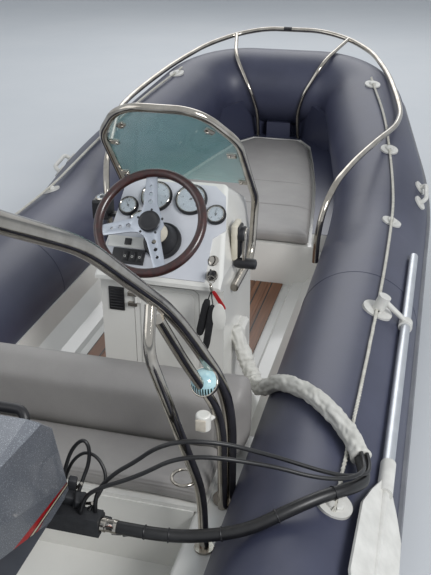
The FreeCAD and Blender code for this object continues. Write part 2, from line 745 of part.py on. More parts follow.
# Engine control on the console's starboard side.
controlY = dim("dashAft") + 175
controlZ = dim("dashBottom") + 102
controlBox = roundedBlock(consoleRight - 30, consoleRight + 26, controlY - 30, controlY + 34,
                          controlZ - 80, controlZ + 38, 18, "x").cut(consoleOuter)
controlBox = sorted(controlBox.Solids, key=lambda s: -s.Volume)[0]
controlHub = rod(26, (consoleRight + 22, controlY, controlZ), (consoleRight + 36, controlY, controlZ))
controlLever = prism([
    (consoleRight + 28, controlY - 17, controlZ + 10), (consoleRight + 28, controlY + 17, controlZ + 10),
    (consoleRight + 28, controlY - 4, controlZ - 78), (consoleRight + 28, controlY - 28, controlZ - 78),
], (10, 0, 0))
controlGrip = rod(14, (consoleRight + 8, controlY - 20, controlZ - 86),
                  (consoleRight + 44, controlY - 20, controlZ - 86))
feature("engine_control", fuseAll([controlBox, controlHub, controlLever, controlGrip]))

# Windscreen: a bent tube hoop on the console's sides, with a clear pane in its sloping upper part.
screenX = dim("consoleCentre")
screenRake = math.radians(dim("screenRake"))
screenFoot = Vector(screenX, dim("dashAft") + 301, dim("dashBottom") + 218)
screenUp = Vector(0, -math.sin(screenRake), math.cos(screenRake))
screenRadius = dim("screenTube") / 2


def onScreen(side, up):
    return tuple(screenFoot + Vector(side, 0, 0) + screenUp * up)


footSide = dim("consoleWidth") / 2 + screenRadius
hoopLow = dim("dashBottom") - 54
hoopHalf = [
    (screenX + footSide, dim("dashAft") + 121, hoopLow), (screenX + footSide, dim("dashAft") + 355, hoopLow),
    (screenX + 217, dim("dashAft") + 363, hoopLow + 200), onScreen(208, 225), onScreen(118, 366),
]
hoopPoints = hoopHalf + [(2 * screenX - x, y, z) for x, y, z in reversed(hoopHalf)]
hoop = pipe(route(hoopPoints, [60, 90, 150, 130, 130, 150, 90, 60]), screenRadius)
feature("windscreen_frame", hoop)
paneOutline = [(200, 2), (196, 200), (160, 285), (112, 342), (60, 352)]
paneOutline = paneOutline + [(-side, up) for side, up in reversed(paneOutline)]
screenNormal = Vector(0, math.cos(screenRake), math.sin(screenRake))
pane = Part.Face(polygon([onScreen(side, up) for side, up in paneOutline])).extrude(
    screenNormal * dim("screenThickness"))
pane.translate(screenNormal * -2.5)
pane = pane.cut(hoop)
feature("windscreen_pane", sorted(pane.Solids, key=lambda s: -s.Volume)[0])

# Bow rail: a hoop over the bow tube, with two uprights.
railRadius = dim("railTube") / 2
railTable = [
    # out from the centreline, behind the bow tube's centre, height
    (466, 1709, 262), (468, 1709, 380), (485, 1679, 500), (520, 1579, 585), (573, 1379, 620), (647, 1114, 640),
    (715, 889, 648), (725, 669, 660), (690, 489, 695), (620, 209, 750), (500, -71, 810), (345, -211, 855),
    (170, -258, 887),
]
railSide = [(x, bowFrontY - behind, z) for x, behind, z in railTable]
railPoints = railSide + [(-x, y, z) for x, y, z in reversed(railSide)]
bowRail = pipe(route(railPoints, cordRadii(railPoints)), railRadius)
feature("bow_rail", bowRail)
uprightTable = [
    # out from the centreline, behind and above the bow tube's centre
    (120, 159, skirtTop - bowLevel + 1), (120, 209, -97), (153, 237, 17), (239, 189, 170), (274, 114, 215),
    (345, -211, 260),
]
uprightPoints = [(x, bowFrontY - behind, bowLevel + above) for x, behind, above in uprightTable]
upright = pipe(route(uprightPoints, cordRadii(uprightPoints)), 11)
upright = upright.cut(bowRail).cut(bowTube).cut(bowCushion).cut(skirt)
upright = sorted(upright.Solids, key=lambda s: -s.Volume)[0]
feature("rail_uprights", Part.makeCompound([upright, mirrored(upright)]))

# Stern arch: a hoop that sweeps aft over the outboard, with an inner strut and an aft brace each side.
archRadius = dim("archTube") / 2
braceRadius = dim("braceTube") / 2
shelf = dim("shelfLevel")
archSide = [(478, 535, shelf), (474, 560, 590), (392, 380, 905), (372, -20, 1237), (345, -440, 1480)]
archPoints = archSide + [(-x, y, z) for x, y, z in reversed(archSide)]
archRadii = [420, 700, 900, 170]
arch = pipe(route(archPoints, archRadii + archRadii[::-1]), archRadius)
arch = arch.cut(Part.makeCompound(allTubes)).cut(Part.makeCompound([linerStarboard, mirrored(linerStarboard)]))
arch = sorted(arch.Solids, key=lambda s: -s.Volume)[0]
feature("stern_arch", arch)
braces = []
bracePoints = [(462, 340, shelf), (452, 362, 440), (386, 215, 905), (379, 262, 988)]
brace = pipe(route(bracePoints, [300, 90]), braceRadius)
innerPoints = [(470, 492, shelf), (462, 512, 560), (402, 398, 780), (381, 300, 935)]
inner = pipe(route(innerPoints, [300, 500]), braceRadius)
braceSet = []
for tube in (brace, inner):
    trimmed = tube.cut(arch).cut(linerStarboard)
    braceSet.append(sorted(trimmed.Solids, key=lambda s: -s.Volume)[0])
feature("arch_braces", Part.makeCompound(braceSet + [mirrored(b) for b in braceSet]))
flanges = []
for x, y, outside in ((478, 524, 34), (470, 340, 24)):
    plate = Part.makeCylinder(outside, 6, Vector(x - 8, y, shelf))
    flanges.append(plate)
plates = [p.cut(arch).cut(brace).cut(inner).cut(allTubes[0]) for p in flanges]
plates = [sorted(p.Solids, key=lambda s: -s.Volume)[0] for p in plates]
feature("arch_feet", Part.makeCompound(plates + [mirrored(p) for p in plates]))

# Deck light, stern lamp and ring, carried by the starboard leg.
lightCentre = Vector(432, 470, 680)
lightShell = Part.makeSphere(34, lightCentre)
lightShell = lightShell.cut(block(380, 480, 400, 448, 630, 740))
lightFoot = rod(9, tuple(lightCentre), (446, 478, 660))
light = fuseAll([lightShell, lightFoot]).cut(arch).cut(inner)
feature("deck_light", sorted(light.Solids, key=lambda s: -s.Volume)[0])

lampShell = rod(19, (430, 458, 552), (430, 458, 598))
lampShell = lampShell.makeFillet(6, [e for e in lampShell.Edges if len(e.Vertexes) == 1])
lampFoot = rod(7, (430, 458, 570), (460, 508, 575))
lamp = fuseAll([lampShell, lampFoot]).cut(inner).cut(arch)
feature("stern_lamp", sorted(lamp.Solids, key=lambda s: -s.Volume)[0])
ringHolder = Part.makeTorus(30, 4, Vector(412, 352, 484), Vector(0, 0, 1))
ringStem = rod(5, (440, 352, 484), (450, 354, 488))
ringHolder = fuseAll([ringHolder, ringStem]).cut(brace)
feature("ring_holder", sorted(ringHolder.Solids, key=lambda s: -s.Volume)[0])


# Points on a tube's surface: an angle outward from its top, a lift above the fabric.
def tubeNormal(upDirection, outDirection, angle):
    return outDirection * math.sin(angle) + upDirection * math.cos(angle)


levelUp = Vector(0, 0, 1)
levelOut = Vector(1, 0, 0)
flareOut = Vector(math.cos(flare), 0, 0) + upward * math.sin(flare)


def onSide(y, angle, lift):
    normal = tubeNormal(levelUp, levelOut, angle)
    centre = Vector(halfSpacing, y, dim("tubeLevel"))
    return centre + normal * (tubeRadius + lift), normal, Vector(0, 1, 0)


# Forward of the rise, by the distance along it: straight, then through the flare.
def onRise(s, angle, lift):
    bend = min(flare, math.asin(max(0, s - dim("flareStart")) / dim("flareRadius")))
    x = halfSpacing - dim("flareRadius") * (1 - math.cos(bend)) - max(0, s - flareEndS) * math.tan(flare)
    out = Vector(math.cos(bend), 0, 0) + upward * math.sin(bend)
    along = upward * math.cos(bend) - Vector(math.sin(bend), 0, 0)
    normal = tubeNormal(bowUp, out, angle)
    return bowPoint(x, s) + normal * (tubeRadius + lift), normal, along


def tubeSpot(s, angle, lift=0):
    turn = math.radians(angle)
    if s < 0:
        return onSide(riseCorner.y + s, turn, lift)
    return onRise(s, turn, lift)


# Grab lines: one rope along each tube, laced through its holders.
lineRadius = dim("lineDiameter") / 2
lineLift = lineRadius + 3
lineTable = [
    # along the tube from the rise, angle outward from its top
    (-1900, 18), (-883, 21.5), (-97, 18.5), (202, 14.2), (554, 9), (900, 11.8), (1236, 6.2), (1300, 6),
]
linePoints = [tuple(tubeSpot(s, angle, lineLift + (2 if s > -160 else 0))[0]) for s, angle in lineTable]
linePath = route(linePoints, [min(r, 2500) for r in cordRadii(linePoints)])
line = pipe(linePath, lineRadius)
feature("grab_line_starboard", line)
feature("grab_line_port", mirrored(line))
print("grab line length %.0f" % linePath.Length)


def holderPad(spot, flangeRadius, domeRadius, domeHeight, rounding):
    point, normal, along = spot
    flangeDisc = Part.makeCylinder(flangeRadius, 12, point - normal * 6, normal)
    dome = Part.makeCylinder(domeRadius, domeHeight, point - normal * 2, normal)
    dome = dome.makeFillet(rounding, [
        e for e in dome.Edges if (e.CenterOfMass - point).dot(normal) > 10 and len(e.Vertexes) == 1
    ])
    whole = fuseAll([flangeDisc, dome]).cut(line).cut(sideTube)
    return sorted(whole.Solids, key=lambda s: -s.Volume)[0]


holders = [holderPad(tubeSpot(s, angle), 41, 19, 20, 8) for s, angle in ((-97, 18.5), (554, 9), (1236, 6.2))]
holders.append(holderPad(tubeSpot(-1871, 17.8), 44, 24, 16, 6))
feature("line_holders", Part.makeCompound(holders + [mirrored(h) for h in holders]))

# Lifting handles: a grip between two glued feet.
handlePoint, handleNormal, handleAlong = tubeSpot(307, 53)
across = handleAlong.cross(handleNormal)


def handleSpot(along, side, lift):
    return handlePoint + handleAlong * along + across * side + handleNormal * lift


gripPath = route([tuple(handleSpot(-62, 0, -4)), tuple(handleSpot(-62, 0, 34)), tuple(handleSpot(62, 0, 34)), tuple(handleSpot(62, 0, -4))], [20, 20])
handleGrip = pipe(gripPath, 10)
handleFeet = [Part.makeCylinder(34, 12, handleSpot(a, 0, -7), handleNormal) for a in (-62, 62)]
handle = fuseAll([handleGrip] + handleFeet).cut(sideTube)
handle = sorted(handle.Solids, key=lambda s: -s.Volume)[0]
feature("lifting_handles", Part.makeCompound([handle, mirrored(handle)]))

# Oars, laid along the tubes, with their locks and clips.
oarAngle = math.radians(48)
oarRadius = dim("oarTube") / 2
sleeveWall = 4
oarLift = oarRadius + sleeveWall + 0.3
oarEnd, oarNormal, oarAlong = onSide(1930, oarAngle, oarLift)
oarNeck = onSide(560, oarAngle, oarLift)[0]
oarShaft = rod(oarRadius, tuple(oarNeck), tuple(oarEnd))
oarSide = oarAlong.cross(oarNormal)


def bladeSpot(y, side, lift):
    return onSide(y, oarAngle, oarLift)[0] + oarSide * side + oarNormal * lift


sleeve = rod(oarRadius + sleeveWall, tuple(onSide(500, oarAngle, oarLift)[0]), tuple(onSide(620, oarAngle, oarLift)[0]))
blade = Part.Face(polygon([
    tuple(bladeSpot(y, side, -3.2)) for y, side in (
        (540, 16), (470, 48), (400, 72), (180, 78), (130, 62), (110, 30), (110, -30), (130, -62), (180, -78), (400, -72), (470, -48), (540, -16))
])).extrude(oarNormal * 7)
rib = Part.makeCone(13, 6, 330, bladeSpot(524, 0, 0), Vector(0, -1, 0))
bladeWhole = fuseAll([blade, rib, sleeve]).cut(oarShaft)
lockY = riseCorner.y - 883
lockPoint, lockNormal, lockAlong = tubeSpot(-883, 21.5)
lockPlate = Part.makeCylinder(52, 12, lockPoint - lockNormal * 7, lockNormal)
lockPost = Part.makeCylinder(21, 62, lockPoint - lockNormal * 2, lockNormal)
oarAtLock = onSide(lockY, oarAngle, oarLift)[0]
clampRing = Part.makeCylinder(oarRadius + 7, 34, oarAtLock - Vector(0, 17, 0), Vector(0, 1, 0))
lockArm = rod(9, tuple(lockPoint + lockNormal * 46), tuple(oarAtLock + oarNormal * 10))
oarLock = fuseAll([lockPlate, lockPost, lockArm, clampRing]).cut(oarShaft).cut(line).cut(sideTube)
oarLock = sorted(oarLock.Solids, key=lambda s: -s.Volume)[0]
feature("oar_shafts", Part.makeCompound([oarShaft, mirrored(oarShaft)]))
feature("oar_blades", Part.makeCompound([bladeWhole, mirrored(bladeWhole)]))
feature("oarlocks", Part.makeCompound([oarLock, mirrored(oarLock)]))

# Cable trunk: a fabric sleeve from the console over the starboard tube.
trunkRadius = dim("trunkDiameter") / 2
trunkPoints = [
    (consoleRight - 3, dim("dashAft") + 173, 462), (376, 1108, 400), (408, 1078, 334), (452, 1016, 312),
    (496, 930, 384), (540, 880, 440), (592, 824, 472), (650, 765, 492), (706, 700, 496), (758, 634, 491),
    (790, 586, 483), (806, 541, 475),
]
trunkRadii = cordRadii(trunkPoints)
trunkPath = route(trunkPoints, trunkRadii)
print("cable_trunk radii %s length %.0f" % (" ".join("%.0f" % r for r in trunkRadii), trunkPath.Length))
trunk = pipe(trunkPath, trunkRadius)
for other in (sideTube, linerStarboard, line, consoleOuter):
    trunk = trunk.cut(other)
trunk = sorted(trunk.Solids, key=lambda s: -s.Volume)[0]
feature("cable_trunk", trunk)

# Cover over the cables' way out, on the console's starboard side.
outlet = roundedBlock(consoleRight - 20, consoleRight + 28, dim("dashAft") + 205, dim("dashAft") + 285,
                      345, 450, 18, "x")
outlet = outlet.makeChamfer(9, [e for e in outlet.Edges if e.CenterOfMass.x > consoleRight + 27.9])
outlet = outlet.cut(block(consoleRight - 40, consoleRight, 900, 1600, 200, 600))
feature("cable_outlet", outlet)

# Outboard, on the centreline.
tiltY = dim("tiltY")
tiltZ = dim("tiltZ")
steerY = dim("steerY")
transomTop = dim("transomTop")
transomFront = dim("transomThickness")
pinRadius = 11
runningFit = 0.05
armHalf = 70
armWidth = 26
armProfile = [
    (0, 105), (0, transomTop), (transomFront, transomTop), (transomFront, 205), (transomFront + 12, 205),
    (transomFront + 12, transomTop + 5), (transomFront - 4, transomTop + 14), (-6, transomTop + 14),
    (-16, transomTop + 38), (-46, transomTop + 42), (-58, transomTop + 14), (-44, 125), (-28, 105),
]
clampParts = []
for side in (-1, 1):
    x = side * armHalf + (0 if side > 0 else -armWidth)
    clampParts.append(prism([(x, y, z) for y, z in armProfile], (armWidth, 0, 0)))
    screwX = x + armWidth / 2
    clampParts.append(rod(7, (screwX, transomFront + 10, 232), (screwX, transomFront + 62, 232)))
    clampParts.append(rod(5, (screwX - 32, transomFront + 56, 232), (screwX + 32, transomFront + 56, 232)))
clampParts.append(rod(pinRadius, (-armHalf - armWidth - 24, tiltY, tiltZ), (armHalf + armWidth + 24, tiltY, tiltZ)))
feature("clamp_bracket", fuseAll(clampParts))

# Swivel bracket: hangs on the tilt tube and carries the steering tube.
swivelHalf = armHalf - 1
kingpinRadius = 19
swivelBoss = rod(pinRadius + 13, (-swivelHalf, tiltY, tiltZ), (swivelHalf, tiltY, tiltZ))
swivelTube = rod(kingpinRadius + 12, (0, steerY, 95), (0, steerY, 335))
swivelWeb = prism([
    (-40, tiltY - 6, tiltZ + 20), (-40, steerY, tiltZ + 30), (-40, steerY, 110), (-40, steerY + 28, 110), (-40, tiltY - 8, 262),
], (80, 0, 0))
swivel = fuseAll([swivelBoss, swivelTube, swivelWeb])
swivel = swivel.cut(rod(pinRadius + runningFit, (-300, tiltY, tiltZ), (300, tiltY, tiltZ)))
swivel = swivel.cut(rod(kingpinRadius + runningFit, (0, steerY, 50), (0, steerY, 400)))
feature("swivel_bracket", swivel)

# Midsection: kingpin, its two mounts and the drive-shaft housing.
housingFront = steerY - 42
cowlBottom = dim("cowlBottom")
propZ = dim("propellerZ")


def housingSection(z, half, front, aft):
    return polygon([
        (-half * 0.45, front, z), (half * 0.45, front, z), (half, front - (front - aft) * 0.3, z),
        (half * 0.8, aft + (front - aft) * 0.15, z), (half * 0.3, aft, z), (-half * 0.3, aft, z),
        (-half * 0.8, aft + (front - aft) * 0.15, z), (-half, front - (front - aft) * 0.3, z),
    ])


plateZ = propZ + 170
housingTop = cowlBottom - 92
housing = Part.makeLoft([
    housingSection(housingTop, 88, housingFront, housingFront - 190),
    housingSection(230, 66, housingFront, housingFront - 160),
    housingSection(plateZ + 12, 34, housingFront - 20, housingFront - 165),
], True, True)
kingpin = rod(kingpinRadius, (0, steerY, 60), (0, steerY, housingTop))
upperMount = block(-44, 44, steerY - 80, steerY + 24, 342, housingTop)
lowerMount = block(-34, 34, steerY - 80, steerY + 24, 62, 92)
feature("midsection", fuseAll([housing, kingpin, upperMount, lowerMount]))

# Gearcase: strut, plate over the propeller, bullet and skeg.
shaftY = housingFront - 60
caseRadius = 40
propY = dim("propellerY") - 60
strut = Part.makeLoft([
    housingSection(plateZ + 12, 34, housingFront - 20, housingFront - 165),
    housingSection(propZ + 20, 24, housingFront - 10, housingFront - 175),
], True, True)
plate = prism([
    (-28, housingFront + 8, plateZ), (28, housingFront + 8, plateZ), (82, housingFront - 110, plateZ),
    (88, housingFront - 300, plateZ), (-88, housingFront - 300, plateZ), (-82, housingFront - 110, plateZ),
], (0, 0, 9))
bulletProfile = [
    (0, 46), (14, 40), (30, 20), (caseRadius, -25), (caseRadius, -165), (33, -215), (33, -225), (0, -225),
]
bulletFace = Part.Face(polygon([(r, housingFront + y, 0) for r, y in bulletProfile]))
bullet = bulletFace.revolve(Vector(0, 0, 0), Vector(0, 1, 0), 360)
bullet.translate(Vector(0, 0, propZ))
skeg = prism([
    (-5, housingFront - 30, propZ - 30), (-5, housingFront - 110, propZ - 165), (-5, housingFront - 165, propZ - 172),
    (-5, housingFront - 185, propZ - 30),
], (10, 0, 0))
propShaftRadius = 9
gearAft = housingFront - 225
shaft = rod(propShaftRadius, (0, gearAft + 5, propZ), (0, gearAft - 92, propZ))
feature("gearcase", fuseAll([strut, plate, bullet, skeg, shaft]))

# Propeller: three pitched blades round a ribbed hub.
hubLength = 78
bladeRadius = dim("propellerRadius")
hubOuter = Part.makeCone(33, 29, hubLength, Vector(0, gearAft - 3, propZ), Vector(0, -1, 0))
bladeList = []
for k in range(3):
    sections = []
    for r, chord, twist, sweep in ((26, 62, 58, 0), (70, 104, 38, 6), (112, 96, 28, 16), (bladeRadius, 34, 23, 30)):
        angle = math.radians(twist)
        reach = chord / 2
        ax = math.cos(angle) * reach
        ay = math.sin(angle) * reach
        nx = -math.sin(angle) * 3
        ny = math.cos(angle) * 3
        shift = -sweep
        mid = gearAft - 3 - hubLength / 2
        sections.append(polygon([
            (shift - ax, mid - ay, r), (shift + nx, mid + ny, r), (shift + ax, mid + ay, r), (shift - nx, mid - ny, r),
        ]))
    bladeSolid = Part.makeLoft(sections, True, True)
    bladeSolid.rotate(Vector(0, 0, 0), Vector(0, 1, 0), 120 * k)
    bladeSolid.translate(Vector(0, 0, propZ))
    bladeList.append(bladeSolid)
propeller = fuseAll([hubOuter] + bladeList)
propeller = propeller.cut(rod(propShaftRadius + runningFit, (0, 0, propZ), (0, -900, propZ)))
feature("propeller", propeller)

# Cowl: a faceted cover over a plain block for the engine, on a shallow pan.
cowlHalf = dim("cowlWidth") / 2
cowlFront = dim("cowlFront")
cowlAft = dim("cowlAft")
cowlTop = dim("cowlTop")
panBottom = housingTop


def cowlPlanes():
    planes = [
        ((0, -100, cowlTop), (0, 0.07, 0.9975)),
        ((0, -100, cowlTop), (0, -0.16, 0.987)),
        ((0, cowlFront, cowlBottom + 75), (0, 0.966, 0.26)),
        ((0, cowlFront - 18, cowlBottom + 165), (0, 0.70, 0.71)),
        ((0, cowlAft, cowlBottom + 120), (0, -0.97, 0.24)),
        ((0, cowlAft + 40, cowlTop - 70), (0, -0.64, 0.77)),
    ]
    for side in (-1, 1):
        planes.append(((side * cowlHalf, 60, cowlBottom + 100), (side * 0.995, 0.03, 0.07)))
        planes.append(((side * (cowlHalf - 12), 100, cowlBottom + 245), (side * 0.66, 0.12, 0.74)))
        planes.append(((side * (cowlHalf - 8), cowlFront - 27, cowlBottom + 60), (side * 0.72, 0.68, 0.14)))
        planes.append(((side * (cowlHalf - 18), cowlFront - 60, cowlBottom + 210), (side * 0.60, 0.54, 0.59)))
        planes.append(((side * (cowlHalf - 50), cowlAft + 12, cowlBottom + 60), (side * 0.72, -0.68, 0.14)))
    return planes


def cowlShape(shrink):
    low = cowlBottom - (20 if shrink else 0)
    shape = block(-cowlHalf, cowlHalf, cowlAft, cowlFront, low, cowlTop + 10)
    for point, normal in cowlPlanes():
        shape = trim(shape, vec(point) - vec(normal).normalize() * shrink, normal)
    return shape


cowlOuter = cowlShape(0)
cowl = cowlOuter.cut(cowlShape(5))
feature("cowl", cowl)


def panSection(z, half, front, aft, corner):
    return polygon([
        (-half + corner, front, z), (half - corner, front, z), (half, front - corner, z), (half, aft + corner, z),
        (half - corner, aft, z), (-half + corner, aft, z), (-half, aft + corner, z), (-half, front - corner, z),
    ])


pan = Part.makeLoft([
    panSection(panBottom, 70, cowlFront - 190, cowlAft + 80, 30),
    panSection(cowlBottom - 45, cowlHalf - 30, cowlFront - 50, cowlAft + 40, 50),
    panSection(cowlBottom, cowlHalf - 1, cowlFront - 1, cowlAft + 1, 52),
], True, True)
feature("engine_pan", pan)
engine = block(-105, 105, cowlAft + 80, cowlFront - 90, cowlBottom, cowlTop - 90)
feature("engine_block", engine)
handleY = cowlFront - 25
handleHeight = cowlBottom + 211
cowlGripPath = route([
    (-98, handleY - 34, handleHeight - 50), (-84, handleY, handleHeight),
    (84, handleY, handleHeight), (98, handleY - 34, handleHeight - 50),
], [22, 22])
cowlGrip = pipe(cowlGripPath, 12).cut(cowlOuter)
feature("cowl_handle", sorted(cowlGrip.Solids, key=lambda s: -s.Volume)[0])

# Bracket at the pan's corner, where the loom's plug and the two control cables end.
bracketEnd = 262
loomY = 195
loomZ = 445
bracket = block(110, bracketEnd, loomY - 20, loomY + 20, loomZ - 24, loomZ + 24).cut(pan)
bracket = sorted(bracket.Solids, key=lambda s: -s.Volume)[0]
plug = rod(14, (bracketEnd, loomY, loomZ), (bracketEnd + 42, loomY, loomZ))
feature("cable_bracket", fuseAll([bracket, plug]))

# Cable loom from the trunk's end to its plug, and two thin control cables that arch over it.
trunkEnd = vec(trunkPoints[-1])
trunkAlong = (trunkEnd - vec(trunkPoints[-2])).normalize()
trunkSide = trunkAlong.cross(Vector(0, 0, 1)).normalize()
trunkUp = trunkSide.cross(trunkAlong)
loomPoints = [
    tuple(trunkEnd), tuple(trunkEnd + trunkAlong * 64), (812, 432, 480), (786, 388, 498), (744, 350, 504),
    (700, 314, 499), (652, 282, 484), (604, 256, 463), (554, 238, 449), (502, 226, 440), (448, 212, 437),
    (396, 200, 442), (350, loomY, loomZ), (bracketEnd + 42, loomY, loomZ),
]
cord("cable_loom", loomPoints, dim("bundleDiameter"))
beginA = trunkEnd + trunkUp * 15 - trunkSide * 15
beginB = trunkEnd + trunkUp * 21
cableEndA = (bracketEnd - 16, loomY + 10, loomZ + 24)
cableEndB = (bracketEnd - 46, loomY - 4, loomZ + 25)
cord("control_cable_a", [
    tuple(beginA), tuple(beginA + trunkAlong * 58), (807, 434, 507), (780, 404, 524), (742, 382, 544),
    (694, 362, 568), (644, 340, 596), (598, 306, 630), (548, 276, 661), (492, 252, 678), (436, 238, 678),
    (382, 236, 650), (338, 236, 606), (287, 225, 570), (cableEndA[0], cableEndA[1], 520), cableEndA,
], dim("cableDiameter"))
cord("control_cable_b", [
    tuple(beginB), tuple(beginB + trunkAlong * 40), (820, 440, 517), (800, 396, 530), (760, 362, 544),
    (706, 336, 563), (648, 316, 588), (592, 284, 616), (536, 256, 638), (478, 238, 646), (420, 228, 632),
    (366, 220, 594), (314, 211, 566), (262, 200, 545), (cableEndB[0] + 8, cableEndB[1] + 2, 515), cableEndB,
], dim("cableDiameter"))
doc.recompute()


# Writing: every object and solid is checked before any file is made.
def check():
    faults = []
    for obj in doc.Objects:
        if "Invalid" in obj.State or "Error" in obj.State:
            faults.append("%s is in state %s" % (obj.Name, obj.State))
    for obj in pieces:
        shape = obj.Shape
        if shape.isNull() or not shape.isValid():
            faults.append("%s has no valid shape" % obj.Label)
    if faults:
        raise RuntimeError("; ".join(faults))


check()
os.makedirs("parts", exist_ok=True)
for obj in pieces:
    shape = obj.Shape
    print("%-20s solids %d volume %.6f" % (obj.Label, len(shape.Solids), shape.Volume / 1e9))
    shape.exportStep("parts/%s.step" % obj.Label)
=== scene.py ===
import math

import bpy
from mathutils import Matrix, Vector, noise


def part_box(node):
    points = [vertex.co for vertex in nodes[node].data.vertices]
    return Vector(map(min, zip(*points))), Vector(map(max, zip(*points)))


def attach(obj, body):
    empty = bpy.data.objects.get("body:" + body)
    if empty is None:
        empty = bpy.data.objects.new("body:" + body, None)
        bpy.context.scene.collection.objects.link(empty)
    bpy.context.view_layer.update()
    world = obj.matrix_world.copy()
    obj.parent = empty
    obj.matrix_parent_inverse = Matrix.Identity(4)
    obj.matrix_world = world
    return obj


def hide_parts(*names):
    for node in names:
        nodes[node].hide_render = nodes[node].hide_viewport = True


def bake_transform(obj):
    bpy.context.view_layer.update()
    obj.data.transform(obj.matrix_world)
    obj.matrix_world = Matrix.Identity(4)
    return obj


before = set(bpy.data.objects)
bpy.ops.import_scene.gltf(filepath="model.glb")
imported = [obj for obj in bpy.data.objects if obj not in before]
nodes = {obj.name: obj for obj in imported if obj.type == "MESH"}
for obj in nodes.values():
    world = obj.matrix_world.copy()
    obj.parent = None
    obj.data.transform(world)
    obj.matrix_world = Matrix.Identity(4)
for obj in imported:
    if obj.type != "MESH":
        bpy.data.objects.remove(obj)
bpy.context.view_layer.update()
scene = bpy.context.scene
scene.view_settings.view_transform = "Standard"
print("Loaded the boat's", len(nodes), "solids")

# Camera, standing aft of the starboard quarter and looking down into the cockpit.
camera = {
    "place": (0.88271, -1.12522, 1.76849),
    "right": (0.96663752, 0.2561383, -0.00225484),
    "up": (-0.11347926, 0.43611682, 0.89270632),
    "forward": (-0.22963966, 0.86266754, -0.45063327),
    "focalPixels": 830, "longSidePixels": 575, "sensor": 36, "nearest": 0.02, "farthest": 80,
}
cameraData = bpy.data.cameras.new("camera")
cameraData.sensor_width = camera["sensor"]
cameraData.lens = camera["sensor"] * camera["focalPixels"] / camera["longSidePixels"]
cameraData.clip_start = camera["nearest"]
cameraData.clip_end = camera["farthest"]
cameraObject = bpy.data.objects.new("camera", cameraData)
scene.collection.objects.link(cameraObject)
axes = Matrix((camera["right"], camera["up"], -Vector(camera["forward"]))).transposed()
cameraObject.matrix_world = Matrix.Translation(camera["place"]) @ axes.to_4x4()
scene.camera = cameraObject


def linear(code):
    parts = [int(code[i:i + 2], 16) / 255 for i in (1, 3, 5)]
    return tuple(p / 12.92 if p <= 0.04045 else ((p + 0.055) / 1.055) ** 2.4 for p in parts) + (1.0,)


def addNode(tree, kind, inputs=None, **settings):
    node = tree.nodes.new(kind)
    for key, value in settings.items():
        setattr(node, key, value)
    for key, value in (inputs or {}).items():
        if isinstance(value, bpy.types.NodeSocket):
            tree.links.new(value, node.inputs[key])
        else:
            node.inputs[key].default_value = value
    return node


# Every finish starts here: two shades mottled over each other, and a fine relief. Sizes are in metres.
def newMaterial(name, colour, second=None, patch=0.1, contrast=(0.35, 0.65), grain=0.0, relief=0.0,
                cells=False, stretch=(1, 1, 1), roughNoise=0.0, **shader):
    material = bpy.data.materials.new(name)
    material.use_nodes = True
    tree = material.node_tree
    tree.nodes.clear()
    output = addNode(tree, "ShaderNodeOutputMaterial")
    surface = addNode(tree, "ShaderNodeBsdfPrincipled", {"Base Color": linear(colour), **shader})
    tree.links.new(surface.outputs[0], output.inputs["Surface"])
    where = addNode(tree, "ShaderNodeTexCoord").outputs["Object"]
    place = addNode(tree, "ShaderNodeMapping", {"Vector": where, "Scale": stretch}).outputs[0]
    cloud = addNode(tree, "ShaderNodeTexNoise", {"Vector": place, "Scale": 1 / patch, "Detail": 5.0, "Roughness": 0.6})
    ramp = addNode(tree, "ShaderNodeValToRGB", {"Fac": cloud.outputs["Fac"]})
    ramp.color_ramp.elements[0].position, ramp.color_ramp.elements[1].position = contrast
    ramp.color_ramp.elements[0].color = linear(colour)
    ramp.color_ramp.elements[1].color = linear(second or colour)
    tree.links.new(ramp.outputs[0], surface.inputs["Base Color"])
    if roughNoise:
        rough = shader.get("Roughness", 0.5)
        spread = addNode(tree, "ShaderNodeMapRange", {
            "Value": cloud.outputs["Fac"], "To Min": max(rough - roughNoise, 0.02), "To Max": rough + roughNoise})
        tree.links.new(spread.outputs[0], surface.inputs["Roughness"])
    if grain and cells:
        fine = addNode(tree, "ShaderNodeTexVoronoi", {"Vector": place, "Scale": 1 / grain}).outputs["Distance"]
    elif grain:
        fine = addNode(tree, "ShaderNodeTexNoise", {"Vector": place, "Scale": 1 / grain, "Detail": 3.0}).outputs["Fac"]
    if grain:
        bump = addNode(tree, "ShaderNodeBump", {"Height": fine, "Strength": 0.6, "Distance": relief})
        tree.links.new(bump.outputs[0], surface.inputs["Normal"])
    return material


# Polyester coated with rubber: dark blue-grey with a low sheen over a woven tooth, drawn at 1.6 mm so that it shows.
tubeFabric = newMaterial("coated polyester", "#34374a", "#414458", 0.35, grain=0.0016, relief=0.0002,
                         Roughness=0.42, roughNoise=0.06)
# The same cloth in pale grey, on the cones.
coneFabric = newMaterial("pale coated polyester", "#9a9ba0", "#a7a8ab", 0.2, grain=0.0016, relief=0.0002,
                         Roughness=0.45)
# Extruded rubber: dull grey, a little blotched by scuffs.
strakeRubber = newMaterial("extruded rubber", "#6c6e74", "#7b7d82", 0.12, grain=0.003, relief=0.0003, Roughness=0.6)
# Gelcoat out of a polished mould: warm white and glossy, with a faint 20 mm ripple.
gelcoat = newMaterial("gelcoat", "#d9d8d3", "#e2e1dc", 0.5, grain=0.02, relief=0.00015, Roughness=0.22,
                      **{"Coat Weight": 0.4, "Coat Roughness": 0.1})
# Embossed vinyl: warm grey, half matt, in 2 mm cells like leather.
leather = newMaterial("grey upholstery vinyl", "#8c8987", "#979491", 0.22, grain=0.0022, relief=0.0005, cells=True,
                      Roughness=0.5)
# Stainless tube, polished by wheel: sharp reflections, slightly warm, hazed in patches by salt.
steel = newMaterial("polished stainless steel", "#b3aea6", "#9a948b", 0.06, Metallic=1.0, Roughness=0.1,
                    roughNoise=0.05)
